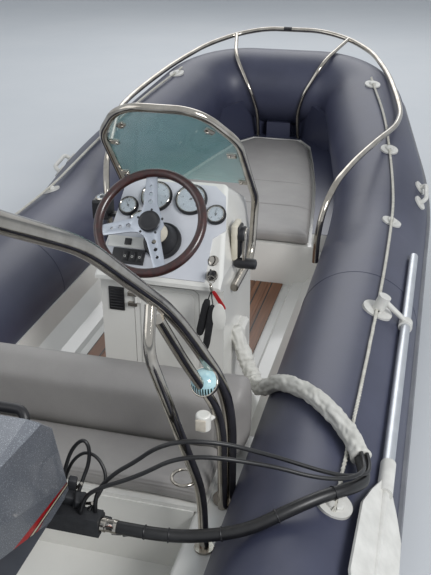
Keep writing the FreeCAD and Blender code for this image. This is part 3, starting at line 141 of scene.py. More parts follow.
# Sprayed satin paint: cool silver white.
dashPaint = newMaterial("satin dash paint", "#c6c9d0", "#d0d2d8", 0.15, grain=0.0008, relief=0.0001, Roughness=0.4)
# Moulded ABS: near black, its spark-eroded texture softens the highlights.
blackPlastic = newMaterial("black moulded plastic", "#131316", "#1c1c20", 0.03, grain=0.0012, relief=0.0002,
                           Roughness=0.42)
# Mahogany under several coats of varnish: dark red-brown streaks below a clear gloss.
mahogany = newMaterial("varnished mahogany", "#1f0908", "#3a120e", 0.012, Roughness=0.3,
                       **{"Coat Weight": 0.45, "Coat Roughness": 0.12})
# Aluminium brushed one way: cool grey, with fine lines that blur reflections.
spokeAluminium = newMaterial("brushed aluminium", "#aab0ba", "#bcc1c9", 0.004, stretch=(1, 12, 12), Metallic=1.0,
                             Roughness=0.32, grain=0.0006, relief=0.0001)
# Glossy white moulding of the lamps and small signs.
lampWhite = newMaterial("white lamp moulding", "#e4e3dd", "#dad9d3", 0.05, Roughness=0.25)
# Braided polyester: off-white and dull, its 2 mm bundles catch shadow.
rope = newMaterial("white braided rope", "#d3d1c8", "#bdbab0", 0.02, grain=0.0022, relief=0.0008, Roughness=0.8)
# Moulded polyamide: white gone slightly yellow, half matt.
fittingWhite = newMaterial("moulded polyamide", "#d8d7d2", "#c9c8c3", 0.05, grain=0.002, relief=0.0002, Roughness=0.45)
# Anodised tube: an even, milky metal.
oarAluminium = newMaterial("anodised aluminium", "#bcbfc4", "#c8cbd0", 0.08, Metallic=0.85, Roughness=0.38)
# Coated sailcloth of the sleeve: white with grey in its creases.
sleeveCloth = newMaterial("white coated cloth", "#d2d1cb", "#bfbeb7", 0.05, grain=0.0015, relief=0.0004,
                          Roughness=0.62)
# Sprayed engine paint: plain mid grey with a soft gloss.
engineGrey = newMaterial("grey engine paint", "#53565d", "#5c5f66", 0.1, grain=0.001, relief=0.0001, Roughness=0.35)
# Metallic paint under clear lacquer: grey that glitters, with sharp highlights.
cowlGrey = newMaterial("metallic cowl paint", "#6b6f77", "#747880", 0.15, Metallic=0.35, Roughness=0.3,
                       **{"Coat Weight": 0.7, "Coat Roughness": 0.08})
# Sand-cast metal painted black: dull, with a 3 mm skin.
engineDark = newMaterial("dark casting", "#1f2023", "#2a2b2e", 0.02, grain=0.003, relief=0.0005, Roughness=0.6)
# Baked enamel of the propeller: smooth pale grey.
propellerPaint = newMaterial("white enamel", "#c6c7c7", "#b4b5b5", 0.05, Roughness=0.3)
# Extruded PVC: black, smooth, with one long highlight.
cableBlack = newMaterial("black cable jacket", "#0e0e10", "#18181a", 0.02, grain=0.002, relief=0.0001, Roughness=0.38)
# Cast acrylic, tinted sea green: seen through, with a clean gloss.
paneMaterial = newMaterial("tinted acrylic", "#a3cfcd", Roughness=0.04, Alpha=0.40, IOR=1.42)
# Moulded ABS in cream.
creamPlastic = newMaterial("cream moulding", "#d3cdbd", "#c6bfae", 0.04, grain=0.0012, relief=0.0001, Roughness=0.4)
# Printed aluminium of the dials: silver with a slight sheen.
dialPaint = newMaterial("silver dial", "#bcc3cb", "#adb5be", 0.006, Metallic=0.2, Roughness=0.45)
# Screen-printed ink and sprayed needles: flat near black.
markInk = newMaterial("dial ink", "#24262c", "#1c1e22", 0.01, Roughness=0.5)
needlePaint = newMaterial("black needle paint", "#18191c", "#24262a", 0.01, Roughness=0.4)
# Clear acrylic lens: only its highlights show.
clearLens = newMaterial("clear acrylic", "#e8f2f4", Roughness=0.03, Alpha=0.12, IOR=1.49)
# Neoprene of the float: black and light-absorbing, with a 1 mm knit.
webbing = newMaterial("black neoprene", "#101013", "#1a1a1d", 0.01, grain=0.0010, relief=0.0003, Roughness=0.85)
# Woven nylon strap: saturated red, matt.
redWebbing = newMaterial("red nylon strap", "#b3121a", "#8f0e15", 0.004, grain=0.0012, relief=0.0003, Roughness=0.6)
# Pressed glass of the lamps: pale blue, and cream where the bulb warms it.
lampGlass = newMaterial("ribbed lamp glass", "#9cc3cd", "#b9dade", 0.02, Roughness=0.08, **{"Coat Weight": 0.5})
warmLens = newMaterial("cream lamp glass", "#d6cfc2", "#c4bcae", 0.02, Roughness=0.15, **{"Coat Weight": 0.4})
# Gelcoat outside, and the tubes' fabric glued over it where the hull rises between the bow tubes.
hullSkin = newMaterial("gelcoat and glued fabric", "#d9d8d3", "#e2e1dc", 0.5, grain=0.02, relief=0.00015,
                       Roughness=0.3)
# Teak boards under oil: red-brown and dull, the grain drawn out along each board.
teak = newMaterial("oiled teak", "#86593c", "#5d3d29", 0.02, (0.3, 0.7), stretch=(1.0, 0.06, 1.0), Roughness=0.5,
                   grain=0.004, relief=0.0004)


# A material's nodes, the socket of its colour, and the piece's own coordinates.
def openedUp(material):
    tree = material.node_tree
    surface = next(n for n in tree.nodes if n.type == "BSDF_PRINCIPLED")
    where = next(n for n in tree.nodes if n.type == "TEX_COORD").outputs["Object"]
    return tree, surface.inputs["Base Color"], where


# Lays a colour over what a material has, where the mask is 1.
def paintOver(tree, colour, mask, code):
    mixed = addNode(tree, "ShaderNodeMix", {0: mask, 6: colour.links[0].from_socket, 7: linear(code)},
                    data_type="RGBA")
    tree.links.new(mixed.outputs[2], colour)


# Lamp glass: clear blue above, and a dark green ribbed band below its middle.
ribs = {"pitch": 0.0062, "width": 0.0034, "top": 0.683, "colour": "#1d3534"}
tree, colour, where = openedUp(lampGlass)
place = addNode(tree, "ShaderNodeSeparateXYZ", {"Vector": where})
phase = addNode(tree, "ShaderNodeMath", {0: place.outputs["X"], 1: ribs["pitch"], 2: 0.0}, operation="WRAP")
dark = addNode(tree, "ShaderNodeMath", {0: phase.outputs[0], 1: ribs["width"]}, operation="LESS_THAN")
low = addNode(tree, "ShaderNodeMath", {0: place.outputs["Z"], 1: ribs["top"]}, operation="LESS_THAN")
striped = addNode(tree, "ShaderNodeMath", {0: dark.outputs[0], 1: low.outputs[0]}, operation="MULTIPLY")
paintOver(tree, colour, striped.outputs[0], ribs["colour"])

# The glued fabric begins at this height, forward of the cockpit.
stemCover = {"above": 0.330, "forwardOf": 2.2, "colour": "#3a3d50"}
tree, colour, where = openedUp(hullSkin)
place = addNode(tree, "ShaderNodeSeparateXYZ", {"Vector": where})
above = addNode(tree, "ShaderNodeMath", {0: place.outputs["Z"], 1: stemCover["above"]}, operation="GREATER_THAN")
ahead = addNode(tree, "ShaderNodeMath", {0: place.outputs["Y"], 1: stemCover["forwardOf"]}, operation="GREATER_THAN")
covered = addNode(tree, "ShaderNodeMath", {0: above.outputs[0], 1: ahead.outputs[0]}, operation="MULTIPLY")
paintOver(tree, colour, covered.outputs[0], stemCover["colour"])

# Cowl: bright flakes in the grey, and sloping bands of red, cream and black along the sides.
cowlPaint = {
    "flakeSize": 0.0025, "flakeShare": 0.62, "flakeColour": "#a4a9ad", "bandFront": 0.183,
    "bands": {  # slope and height of the lower line, then of the upper line, at the front end of the bands
        "#b0141b": ((-0.0523, 0.5235), (-0.1357, 0.5280)), "#131316": ((-0.0523, 0.5125), (-0.0523, 0.5235)),
        "#d9cdb4": ((-0.0523, 0.5155), (-0.0523, 0.5205)), "#b3161d": ((0.10, 0.5245), (-0.0523, 0.5125)),
    },
}
tree, colour, where = openedUp(cowlGrey)
flakes = addNode(tree, "ShaderNodeTexNoise", {"Vector": where, "Scale": 1 / cowlPaint["flakeSize"], "Detail": 2.0})
bright = addNode(tree, "ShaderNodeMath", {0: flakes.outputs["Fac"], 1: cowlPaint["flakeShare"]},
                 operation="GREATER_THAN")
paintOver(tree, colour, bright.outputs[0], cowlPaint["flakeColour"])
place = addNode(tree, "ShaderNodeSeparateXYZ", {"Vector": where})
for code, lines in cowlPaint["bands"].items():
    sides = []
    for slope, height in lines:
        line = addNode(tree, "ShaderNodeMath", {
            0: place.outputs["Y"], 1: slope, 2: height - slope * cowlPaint["bandFront"]}, operation="MULTIPLY_ADD")
        sides.append(addNode(tree, "ShaderNodeMath", {0: place.outputs["Z"], 1: line.outputs[0]},
                             operation="GREATER_THAN").outputs[0])
    inside = addNode(tree, "ShaderNodeMath", {0: sides[0], 1: sides[1]}, operation="SUBTRACT")
    inside = addNode(tree, "ShaderNodeMath", {0: inside.outputs[0], 1: 0.0}, operation="MAXIMUM")
    paintOver(tree, colour, inside.outputs[0], code)

# Teak: black caulking between boards that run along the boat.
planks = {"width": 0.052, "caulk": 0.006, "caulkColour": "#0f0d0c"}
tree, colour, where = openedUp(teak)
place = addNode(tree, "ShaderNodeSeparateXYZ", {"Vector": where})
boards = addNode(tree, "ShaderNodeMath", {0: place.outputs["X"], 1: planks["width"], 2: 0.0}, operation="WRAP")
caulked = addNode(tree, "ShaderNodeMath", {0: boards.outputs[0], 1: planks["caulk"]}, operation="LESS_THAN")
paintOver(tree, colour, caulked.outputs[0], planks["caulkColour"])

finishes = {
    tubeFabric: "tube_starboard tube_port tube_bow", coneFabric: "cone_starboard cone_port",
    strakeRubber: "rubbing_strake", hullSkin: "hull_shell bow_skirt", teak: "sole_planks",
    gelcoat: "side_decks bench_box seat_board bow_locker console_body console_door",
    leather: "seat_cushion bench_bolster bow_cushion", dashPaint: "dash_panel",
    steel: "door_hinges windscreen_frame bow_rail rail_uprights stern_arch arch_braces arch_feet deck_light "
           "ring_holder",
    blackPlastic: "gauges compass switch_panel ignition_switch helm engine_control cowl_handle",
    mahogany: "wheel_rim", spokeAluminium: "wheel_spokes", paneMaterial: "windscreen_pane",
    rope: "grab_line_starboard grab_line_port", oarAluminium: "oar_shafts", sleeveCloth: "cable_trunk",
    fittingWhite: "line_holders lifting_handles oar_blades oarlocks cable_outlet", lampWhite: "stern_lamp",
    engineGrey: "clamp_bracket swivel_bracket midsection gearcase engine_pan", propellerPaint: "propeller",
    cowlGrey: "cowl", engineDark: "engine_block cable_bracket",
    cableBlack: "cable_loom control_cable_a control_cable_b",
}
for material, names in finishes.items():
    for name in names.split():
        nodes[name].data.materials.clear()
        nodes[name].data.materials.append(material)
print("Painted the solids")

# Dash space: x to starboard, y up the dash from its lower edge, z out of it towards the helmsman.
dash = {"aft": 0.949, "bottom": 0.682, "slope": math.radians(46)}
dashMatrix = Matrix.Translation((0, dash["aft"], dash["bottom"])) @ Matrix.Rotation(dash["slope"], 4, "X")


def deselect():
    if bpy.context.object and bpy.context.object.mode != "OBJECT":
        bpy.ops.object.mode_set(mode="OBJECT")
    bpy.ops.object.select_all(action="DESELECT")


def choose(piece):
    deselect()
    bpy.context.view_layer.objects.active = piece
    piece.select_set(True)


def addModifier(piece, kind, **settings):
    modifier = piece.modifiers.new(kind.lower(), kind)
    for key, value in settings.items():
        setattr(modifier, key, value)
    return modifier


def applyModifier(piece, modifier):
    choose(piece)
    bpy.ops.object.modifier_apply(modifier=modifier.name)


# Bakes a piece's modifiers and place into its mesh, and gives it its material.
def baked(piece, material):
    for modifier in list(piece.modifiers):
        applyModifier(piece, modifier)
    choose(piece)
    piece.data.transform(piece.matrix_world)
    piece.matrix_world = Matrix.Identity(4)
    if not piece.data.materials:
        piece.data.materials.append(material)
    return piece


# The last step of each piece: baked, moved to its place, shaded, named, and given to its body.
def finish(piece, name, material, body="hull", matrix=None, smooth=35, replaced=()):
    baked(piece, material)
    if matrix is not None:
        piece.data.transform(matrix)
    if smooth:
        bpy.ops.object.shade_smooth_by_angle(angle=math.radians(smooth))
    piece.name = name
    piece.data.name = name
    if body:
        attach(piece, body)
    if replaced:
        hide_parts(*replaced)
    deselect()
    return piece


def joined(parts):
    deselect()
    for part in parts:
        part.select_set(True)
    bpy.context.view_layer.objects.active = parts[0]
    bpy.ops.object.join()
    return bpy.context.object


def cylinder(radius, depth, place, vertices=32):
    deselect()
    bpy.ops.mesh.primitive_cylinder_add(vertices=vertices, radius=radius, depth=depth, location=place)
    return bpy.context.object


def torus(radius, thickness, around, across, place=(0, 0, 0)):
    deselect()
    bpy.ops.mesh.primitive_torus_add(major_radius=radius, minor_radius=thickness, major_segments=around,
                                     minor_segments=across, location=place)
    return bpy.context.object


def cube(size, place=(0, 0, 0), turn=(0, 0, 0), bevel=0.0, segments=2):
    deselect()
    bpy.ops.mesh.primitive_cube_add(size=1, location=place, rotation=turn)
    piece = bpy.context.object
    piece.scale = size
    bpy.ops.object.transform_apply(location=False, rotation=False, scale=True)
    if bevel:
        addModifier(piece, "BEVEL", width=bevel, segments=segments)
    return piece


# The points of a route's own smooth line, read from its curve, which has no bevel.
def linePoints(name, points, resolution=12):
    data = bpy.data.curves.new(name + " line", "CURVE")
    data.dimensions = "3D"
    data.resolution_u = resolution
    spline = data.splines.new("NURBS")
    spline.points.add(len(points) - 1)
    for point, place in zip(spline.points, points):
        point.co = (*place, 1)
    spline.order_u = 3
    spline.use_endpoint_u = True
    line = bpy.data.objects.new(name + " line", data)
    scene.collection.objects.link(line)
    mesh = bpy.data.meshes.new_from_object(line)
    places = [v.co.copy() for v in mesh.vertices]
    bpy.data.meshes.remove(mesh)
    bpy.data.objects.remove(line)
    return places


def lineLength(places):
    return sum((b - a).length for a, b in zip(places, places[1:]))


# Flat piece: an outline in its own plane, extruded to a thickness.
def plate(outline, thickness, bevel=0.0, segments=2):
    deselect()
    bpy.ops.mesh.primitive_circle_add(vertices=len(outline), radius=0.1, fill_type="NGON")
    piece = bpy.context.object
    for corner, (x, y) in zip(piece.data.vertices, outline):
        corner.co = (x, y, 0)
    bpy.ops.object.mode_set(mode="EDIT")
    bpy.ops.mesh.select_all(action="SELECT")
    bpy.ops.mesh.extrude_region_move(TRANSFORM_OT_translate={"value": (0, 0, thickness)})
    bpy.ops.mesh.select_all(action="SELECT")
    bpy.ops.mesh.normals_make_consistent(inside=False)
    bpy.ops.object.mode_set(mode="OBJECT")
    if bevel:
        addModifier(piece, "BEVEL", width=bevel, segments=segments)
    return piece


# Round piece: a ring drawn up its axis and resized at each step of a profile of (radius, height).
def turned(profile, vertices=48):
    deselect()
    radius, height = profile[0]
    bpy.ops.mesh.primitive_circle_add(vertices=vertices, radius=radius, fill_type="NGON", location=(0, 0, height))
    piece = bpy.context.object
    bpy.ops.object.transform_apply()
    bpy.ops.object.mode_set(mode="EDIT")
    bpy.ops.mesh.select_all(action="SELECT")
    for nextRadius, nextHeight in profile[1:]:
        bpy.ops.mesh.extrude_region_move(TRANSFORM_OT_translate={"value": (0, 0, nextHeight - height)})
        share = nextRadius / radius
        bpy.ops.transform.resize(value=(share, share, 1), center_override=(0, 0, nextHeight))
        radius, height = nextRadius, nextHeight
    bpy.ops.mesh.select_all(action="SELECT")
    bpy.ops.mesh.normals_make_consistent(inside=False)
    bpy.ops.object.mode_set(mode="OBJECT")
    return piece


# Opens a round piece into a ring, by deleting the faces that close its ends.
def openEnds(piece):
    choose(piece)
    bpy.ops.object.mode_set(mode="EDIT")
    bpy.ops.mesh.select_mode(type="FACE")
    bpy.ops.mesh.select_all(action="DESELECT")
    bpy.ops.object.mode_set(mode="OBJECT")
    for face in piece.data.polygons:
        face.select = len(face.vertices) > 4
    bpy.ops.object.mode_set(mode="EDIT")
    bpy.ops.mesh.delete(type="FACE")
    bpy.ops.object.mode_set(mode="OBJECT")
    return piece


def put(piece, matrix):
    piece.matrix_world = matrix @ piece.matrix_world
    return piece


def cutAway(piece, tools):
    for tool in tools:
        applyModifier(piece, addModifier(piece, "BOOLEAN", operation="DIFFERENCE", solver="EXACT", object=tool))
        bpy.data.objects.remove(tool)
    return piece


def label(text, size, place, thickness=0.0003):
    deselect()
    bpy.ops.object.text_add(location=place)
    words = bpy.context.object.data
    words.body = text
    words.size = size
    words.align_x = "CENTER"
    words.align_y = "CENTER"
    words.extrude = thickness
    bpy.ops.object.convert(target="MESH")
    return bpy.context.object


# A frame that stands on a line: z along it, x level where that can be.
def standing(place, along):
    return Matrix.Translation(place) @ Vector(along).to_track_quat("Z", "Y").to_matrix().to_4x4()


# A tube through points: a ring of corners at each, carried along without twist. Its reach is a radius, or gives
# one for the place's number, the angle round the tube and the way run so far. A strand also winds off the middle.
def tubeMesh(name, places, reach, sides=16, twist=0.0, offset=0.0, phase=0.0):
    corners = []
    faces = []
    across = None
    travelled = 0.0
    for i, place in enumerate(places):
        ahead = places[min(i + 1, len(places) - 1)] - places[max(i - 1, 0)]
        ahead.normalize()
        if across is None:
            across = ahead.orthogonal().normalized()
        across = (across - ahead * across.dot(ahead)).normalized()
        other = ahead.cross(across)
        if i:
            travelled += (place - places[i - 1]).length
        turn = twist * travelled + phase
        heart = place + (across * math.cos(turn) + other * math.sin(turn)) * offset
        for k in range(sides):
            angle = 2 * math.pi * k / sides
            radius = reach(i, angle, travelled) if callable(reach) else reach
            corners.append(heart + (across * math.cos(angle) + other * math.sin(angle)) * radius)
    for i in range(len(places) - 1):
        for k in range(sides):
            following = (k + 1) % sides
            faces.append((i * sides + k, i * sides + following, (i + 1) * sides + following, (i + 1) * sides + k))
    faces.append(tuple(range(sides))[::-1])
    faces.append(tuple((len(places) - 1) * sides + k for k in range(sides)))
    mesh = bpy.data.meshes.new(name)
    mesh.from_pydata([tuple(c) for c in corners], [], faces)
    piece = bpy.data.objects.new(name, mesh)
    scene.collection.objects.link(piece)
    return piece


# Leaves a copy of a CAD node's mesh in edit mode, its loose triangles merged and selected.
def mergedCopy(node, name):
    piece = bpy.data.objects.new(name, nodes[node].data.copy())
    scene.collection.objects.link(piece)
    piece.data.materials.clear()
    choose(piece)
    bpy.ops.object.mode_set(mode="EDIT")
    bpy.ops.mesh.select_all(action="SELECT")
    bpy.ops.mesh.remove_doubles(threshold=0.0001)
    return piece


# Cords. Each route is a list of points in metres, joined by one smooth line.
trunk = {
    "diameter": 0.048,
    "points": [
        (0.342, 1.122, 0.462), (0.376, 1.108, 0.400), (0.408, 1.078, 0.334), (0.452, 1.016, 0.312),
        (0.496, 0.930, 0.384), (0.540, 0.880, 0.440), (0.592, 0.824, 0.472), (0.650, 0.765, 0.492),
        (0.706, 0.700, 0.496), (0.758, 0.634, 0.491), (0.790, 0.586, 0.483), (0.806, 0.541, 0.475),
    ],
    "wrinkle": 0.0030, "wrinklePitch": 0.021, "bunchedAt": 0.16, "bunchedOver": 0.13,
    "hem": 0.0020, "firstHem": 0.012, "lastHem": 0.014, "flap": 0.0075, "flapLength": 0.05,
}
trunkEnd = Vector(trunk["points"][-1])
trunkAlong = (trunkEnd - Vector(trunk["points"][-2])).normalized()
trunkSide = trunkAlong.cross(Vector((0, 0, 1))).normalized()
trunkUp = trunkSide.cross(trunkAlong)
beginA = trunkEnd + trunkUp * 0.015 - trunkSide * 0.015
beginB = trunkEnd + trunkUp * 0.021
cables = {  # diameter and route; the first two points lead straight out of the sleeve
    "cable_loom": (0.030, [
        tuple(trunkEnd), tuple(trunkEnd + trunkAlong * 0.064), (0.812, 0.432, 0.480), (0.786, 0.388, 0.498),
        (0.744, 0.350, 0.504), (0.700, 0.314, 0.499), (0.652, 0.282, 0.484), (0.604, 0.256, 0.463),
        (0.554, 0.238, 0.449), (0.502, 0.226, 0.440), (0.448, 0.212, 0.437), (0.396, 0.200, 0.442),
        (0.350, 0.195, 0.445), (0.304, 0.195, 0.445)]),
    "control_cable_a": (0.010, [
        tuple(beginA), tuple(beginA + trunkAlong * 0.058), (0.807, 0.434, 0.507), (0.780, 0.404, 0.524),
        (0.742, 0.382, 0.544), (0.694, 0.362, 0.568), (0.644, 0.340, 0.596), (0.598, 0.306, 0.630),
        (0.548, 0.276, 0.661), (0.492, 0.252, 0.678), (0.436, 0.238, 0.678), (0.382, 0.236, 0.650),
        (0.338, 0.236, 0.606), (0.287, 0.225, 0.570), (0.246, 0.205, 0.520), (0.246, 0.205, 0.469)]),
    "control_cable_b": (0.010, [
        tuple(beginB), tuple(beginB + trunkAlong * 0.040), (0.820, 0.440, 0.517), (0.800, 0.396, 0.530),
        (0.760, 0.362, 0.544), (0.706, 0.336, 0.563), (0.648, 0.316, 0.588), (0.592, 0.284, 0.616),
        (0.536, 0.256, 0.638), (0.478, 0.238, 0.646), (0.420, 0.228, 0.632), (0.366, 0.220, 0.594),
        (0.314, 0.211, 0.566), (0.262, 0.200, 0.545), (0.224, 0.193, 0.515), (0.216, 0.191, 0.470)]),
}
cableLines = {}
for name, (diameter, points) in cables.items():
    cableLines[name] = linePoints(name, points)
    piece = tubeMesh(name + "_jacket", cableLines[name], diameter / 2, 20)
    finish(piece, name + "_jacket", cableBlack, None, None, 60)
    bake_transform(piece)
    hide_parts(name)

# Fabric sleeve: it bunches in soft rings, most of all where it folds down to the sole.
trunkLine = linePoints("sleeve", trunk["points"])


def sleeveRadius(i, angle, run):
    bunched = math.exp(-((run - trunk["bunchedAt"]) / trunk["bunchedOver"]) ** 2)
    ring = math.sin(2 * math.pi * run / trunk["wrinklePitch"] + 1.6 * math.sin(angle + run * 9))
    crease = noise.noise(Vector((math.cos(angle) * 2.1 + run * 6, math.sin(angle) * 2.1, run * 24)))
    pleat = abs(noise.noise(Vector((math.cos(angle - run * 12) * 1.5, math.sin(angle - run * 12) * 1.5, run * 42))))
    left = lineLength(trunkLine) - run
    hem = trunk["hem"] if run < trunk["firstHem"] or left < trunk["lastHem"] else 0
    flap = trunk["flap"] * max(0, 1 - left / trunk["flapLength"]) * max(0, math.cos(angle - 2.2)) ** 2
    folds = ring * 0.75 * bunched + crease * 1.5 + (pleat - 0.2) * 2.2
    return trunk["diameter"] / 2 + folds * trunk["wrinkle"] + hem + flap


sleeve = tubeMesh("trunk_sleeve", trunkLine, sleeveRadius, 40)
addModifier(sleeve, "SUBSURF", levels=1, render_levels=1)
finish(sleeve, "trunk_sleeve", sleeveCloth, "hull", None, 60, ["cable_trunk"])
print("Laid the cables")

# Ties round the loom, the plug's nickel collar and the small harness under it.
loomTies = {"places": (0.26, 0.47, 0.66, 0.84, 0.93), "radius": 0.0155, "strap": 0.0018, "knot": (0.006, 0.005, 0.004)}
loomLine = cableLines["cable_loom"]
ties = []
for share in loomTies["places"]:
    spot = int(share * (len(loomLine) - 1))
    tie = torus(loomTies["radius"], loomTies["strap"], 32, 8)
    put(tie, standing(loomLine[spot], loomLine[spot + 1] - loomLine[spot]))
    knot = put(cube(loomTies["knot"], (0.017, 0, 0), bevel=0.001), tie.matrix_world)
    ties += [baked(tie, blackPlastic), baked(knot, blackPlastic)]
ties = finish(joined(ties), "loom_ties", blackPlastic, None)
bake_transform(ties)
plugCollar = turned([(0.0150, 0.0), (0.0168, 0.002), (0.0168, 0.012), (0.0150, 0.014), (0.0150, 0.026),
                     (0.0163, 0.028), (0.0163, 0.036), (0.0158, 0.040), (0.0120, 0.041)])
put(plugCollar, standing((0.262, 0.195, 0.445), (1, 0, 0)))
finish(plugCollar, "plug_collar", steel, "engine")
plugs = ((0.232, 0.224, 0.436, 0.030), (0.258, 0.222, 0.428, 0.022), (0.292, 0.214, 0.416, 0.018),
         (0.318, 0.212, 0.418, 0.016))  # place and thickness
harness = [baked(cube((size * 1.5, size, size), (x, y, z), (0.2 * k, 0.3, 0.25 * k), size * 0.22, 3), blackPlastic)
           for k, (x, y, z, size) in enumerate(plugs)]
finish(joined(harness), "harness_plugs", blackPlastic, "engine")

# Hoses on the engine's front: two loops between the cowl and its pan.
hoses = {
    "fuel_hose": (0.009, [
        (0.149, 0.240, 0.500), (0.154, 0.262, 0.536), (0.168, 0.272, 0.580), (0.196, 0.276, 0.612),
        (0.212, 0.274, 0.596), (0.211, 0.268, 0.552), (0.200, 0.246, 0.515), (0.192, 0.205, 0.468)]),
    "breather_hose": (0.008, [
        (0.146, 0.242, 0.478), (0.152, 0.264, 0.510), (0.168, 0.276, 0.548), (0.198, 0.284, 0.571),
        (0.232, 0.280, 0.560), (0.256, 0.262, 0.524), (0.246, 0.236, 0.496), (0.230, 0.206, 0.468)]),
}
for name, (diameter, points) in hoses.items():
    places = linePoints(name, points)
    hose = finish(tubeMesh(name, places, diameter / 2, 18), name, cableBlack, "engine", None, 60)
print("Fitted the engine's hoses")

# Stage: pale floor at the waterline, soft lamps and a pale surround.
deselect()
bpy.ops.mesh.primitive_plane_add(size=60, location=(0, 0, 0))
floor = bpy.context.object
floor.name = "floor"
floor.data.materials.append(newMaterial("pale floor", "#d9dcdf", "#d2d6da", 2.0, Roughness=0.6))
lamps = {  # place, size and power
    "key": ((4.5, -2.0, 4.2), 2.2, 265),
    "fill": ((-5.0, -3.0, 4.0), 5.0, 100),
    "back": ((-1.0, 8.0, 5.0), 5.0, 160),
}
lampsAimAt = Vector((0, 1.6, 0.3))
for name, (place, size, power) in lamps.items():
    lampData = bpy.data.lights.new(name, "AREA")
    lampData.energy = power
    lampData.size = size
    lamp = bpy.data.objects.new(name, lampData)
    scene.collection.objects.link(lamp)
    lamp.location = place
    lamp.rotation_euler = (lampsAimAt - Vector(place)).to_track_quat("-Z", "Y").to_euler()
scene.world = bpy.data.worlds.new("studio")
scene.world.use_nodes = True
sky = scene.world.node_tree
sky.nodes.clear()
rays = addNode(sky, "ShaderNodeLightPath").outputs
seen = addNode(sky, "ShaderNodeMath", {0: rays["Is Camera Ray"], 1: rays["Is Glossy Ray"]}, operation="MAXIMUM")
seen = addNode(sky, "ShaderNodeMath", {0: seen.outputs[0], 1: rays["Is Transmission Ray"]}, operation="MAXIMUM")
lit = addNode(sky, "ShaderNodeBackground", {"Color": linear("#dfe6ee"), "Strength": 0.45})
pale = addNode(sky, "ShaderNodeBackground", {"Color": linear("#e4e8ec"), "Strength": 0.9})
both = addNode(sky, "ShaderNodeMixShader", {0: seen.outputs[0], 1: lit.outputs[0], 2: pale.outputs[0]})
addNode(sky, "ShaderNodeOutputWorld", {"Surface": both.outputs[0]})
print("Set the stage")

# Steering wheel: wooden rim, three brushed spokes with holes, capped hub.
wheel = {
    "centre": (0.146, 0.92433, 0.87959), "radius": 0.152, "tube": 0.0133, "spokeAngles": (99, 196, 293),
    "spokeFoot": 0.056, "spokeInner": 0.020, "spokeOuter": 0.0155, "intoRim": 0.004, "plate": 0.005,
    "holes": ((0.062, 0.007), (0.086, 0.006), (0.110, 0.005)), "hubEdge": 0.0455, "hubDip": 0.0035,
    "dipFrom": 22, "dipOver": 53, "screws": 5, "screwCircle": 0.0375,
}
wheelMatrix = Matrix.Translation(wheel["centre"]) @ Matrix.Rotation(dash["slope"], 4, "X")
rim = torus(wheel["radius"], wheel["tube"], 144, 28)
finish(rim, "rim_wood", mahogany, "wheel", wheelMatrix, 60, ["wheel_rim"])
foot, inner, outer = wheel["spokeFoot"], wheel["spokeInner"], wheel["spokeOuter"]
reach = wheel["radius"] - wheel["intoRim"]
outline = []
for angle in wheel["spokeAngles"]:
    turn = math.radians(angle)
    for along, side in ((foot, -inner), (reach, -outer), (reach, outer), (foot, inner)):
        outline.append((along * math.cos(turn) - side * math.sin(turn), along * math.sin(turn) + side * math.cos(turn)))
    for share in (0.25, 0.5, 0.75):
        between = turn + math.radians(wheel["dipFrom"] + wheel["dipOver"] * share)
        dip = wheel["hubEdge"] - wheel["hubDip"] * math.sin(math.pi * share)
        outline.append((dip * math.cos(between), dip * math.sin(between)))
spider = plate(outline, wheel["plate"], 0.0012, 3)
spider.location.z = -0.003
holes = []
for angle in wheel["spokeAngles"]:
    turn = math.radians(angle)
    holes += [cylinder(radius, 0.03, (along * math.cos(turn), along * math.sin(turn), 0))
              for along, radius in wheel["holes"]]
finish(cutAway(spider, holes), "wheel_spider", spokeAluminium, "wheel", wheelMatrix, 30, ["wheel_spokes"])
cap = turned([(0.030, 0.002), (0.0312, 0.004), (0.0312, 0.011), (0.029, 0.0135), (0.024, 0.0145), (0.0225, 0.0137),
              (0.010, 0.0142)])
finish(cap, "wheel_cap", blackPlastic, "wheel", wheelMatrix)
screws = []
for k in range(wheel["screws"]):
    turn = math.radians(360 / wheel["screws"] * k + 20)
    screw = turned([(0.0034, 0.002), (0.0034, 0.0034), (0.0026, 0.0042), (0.0012, 0.0044)], 20)
    screw.location = (wheel["screwCircle"] * math.cos(turn), wheel["screwCircle"] * math.sin(turn), 0)
    screws.append(baked(screw, engineDark))
finish(joined(screws), "hub_screws", engineDark, "wheel", wheelMatrix)
boss = turned([(0.026, -0.030), (0.030, -0.026), (0.034, -0.012), (0.034, -0.003)])
finish(boss, "wheel_boss", blackPlastic, "wheel", wheelMatrix)
print("Turned the wheel")

# Helm: black bezel on the dash and a cream cone up to the wheel. Each is a material, its sides, the CAD node that it
# stands for, and its profile.
helmMatrix = dashMatrix @ Matrix.Translation((0.146, 0.125, 0.004))
helm = {
    "helm_bezel": (blackPlastic, 72, ["helm"], [
        (0.057, 0.0), (0.058, 0.002), (0.058, 0.009), (0.055, 0.014), (0.046, 0.0165), (0.044, 0.014)]),
    "helm_bell": (blackPlastic, 64, [], [
        (0.050, 0.014), (0.047, 0.022), (0.041, 0.042), (0.035, 0.064), (0.0335, 0.066)]),
    "helm_cone": (creamPlastic, 64, [], [
        (0.0315, 0.064), (0.0305, 0.070), (0.0275, 0.100), (0.0250, 0.116), (0.0235, 0.1185), (0.010, 0.1190)]),
}
for name, (material, sides, replaced, profile) in helm.items():
    finish(turned(profile, sides), name, material, "hull", helmMatrix, 35, replaced)

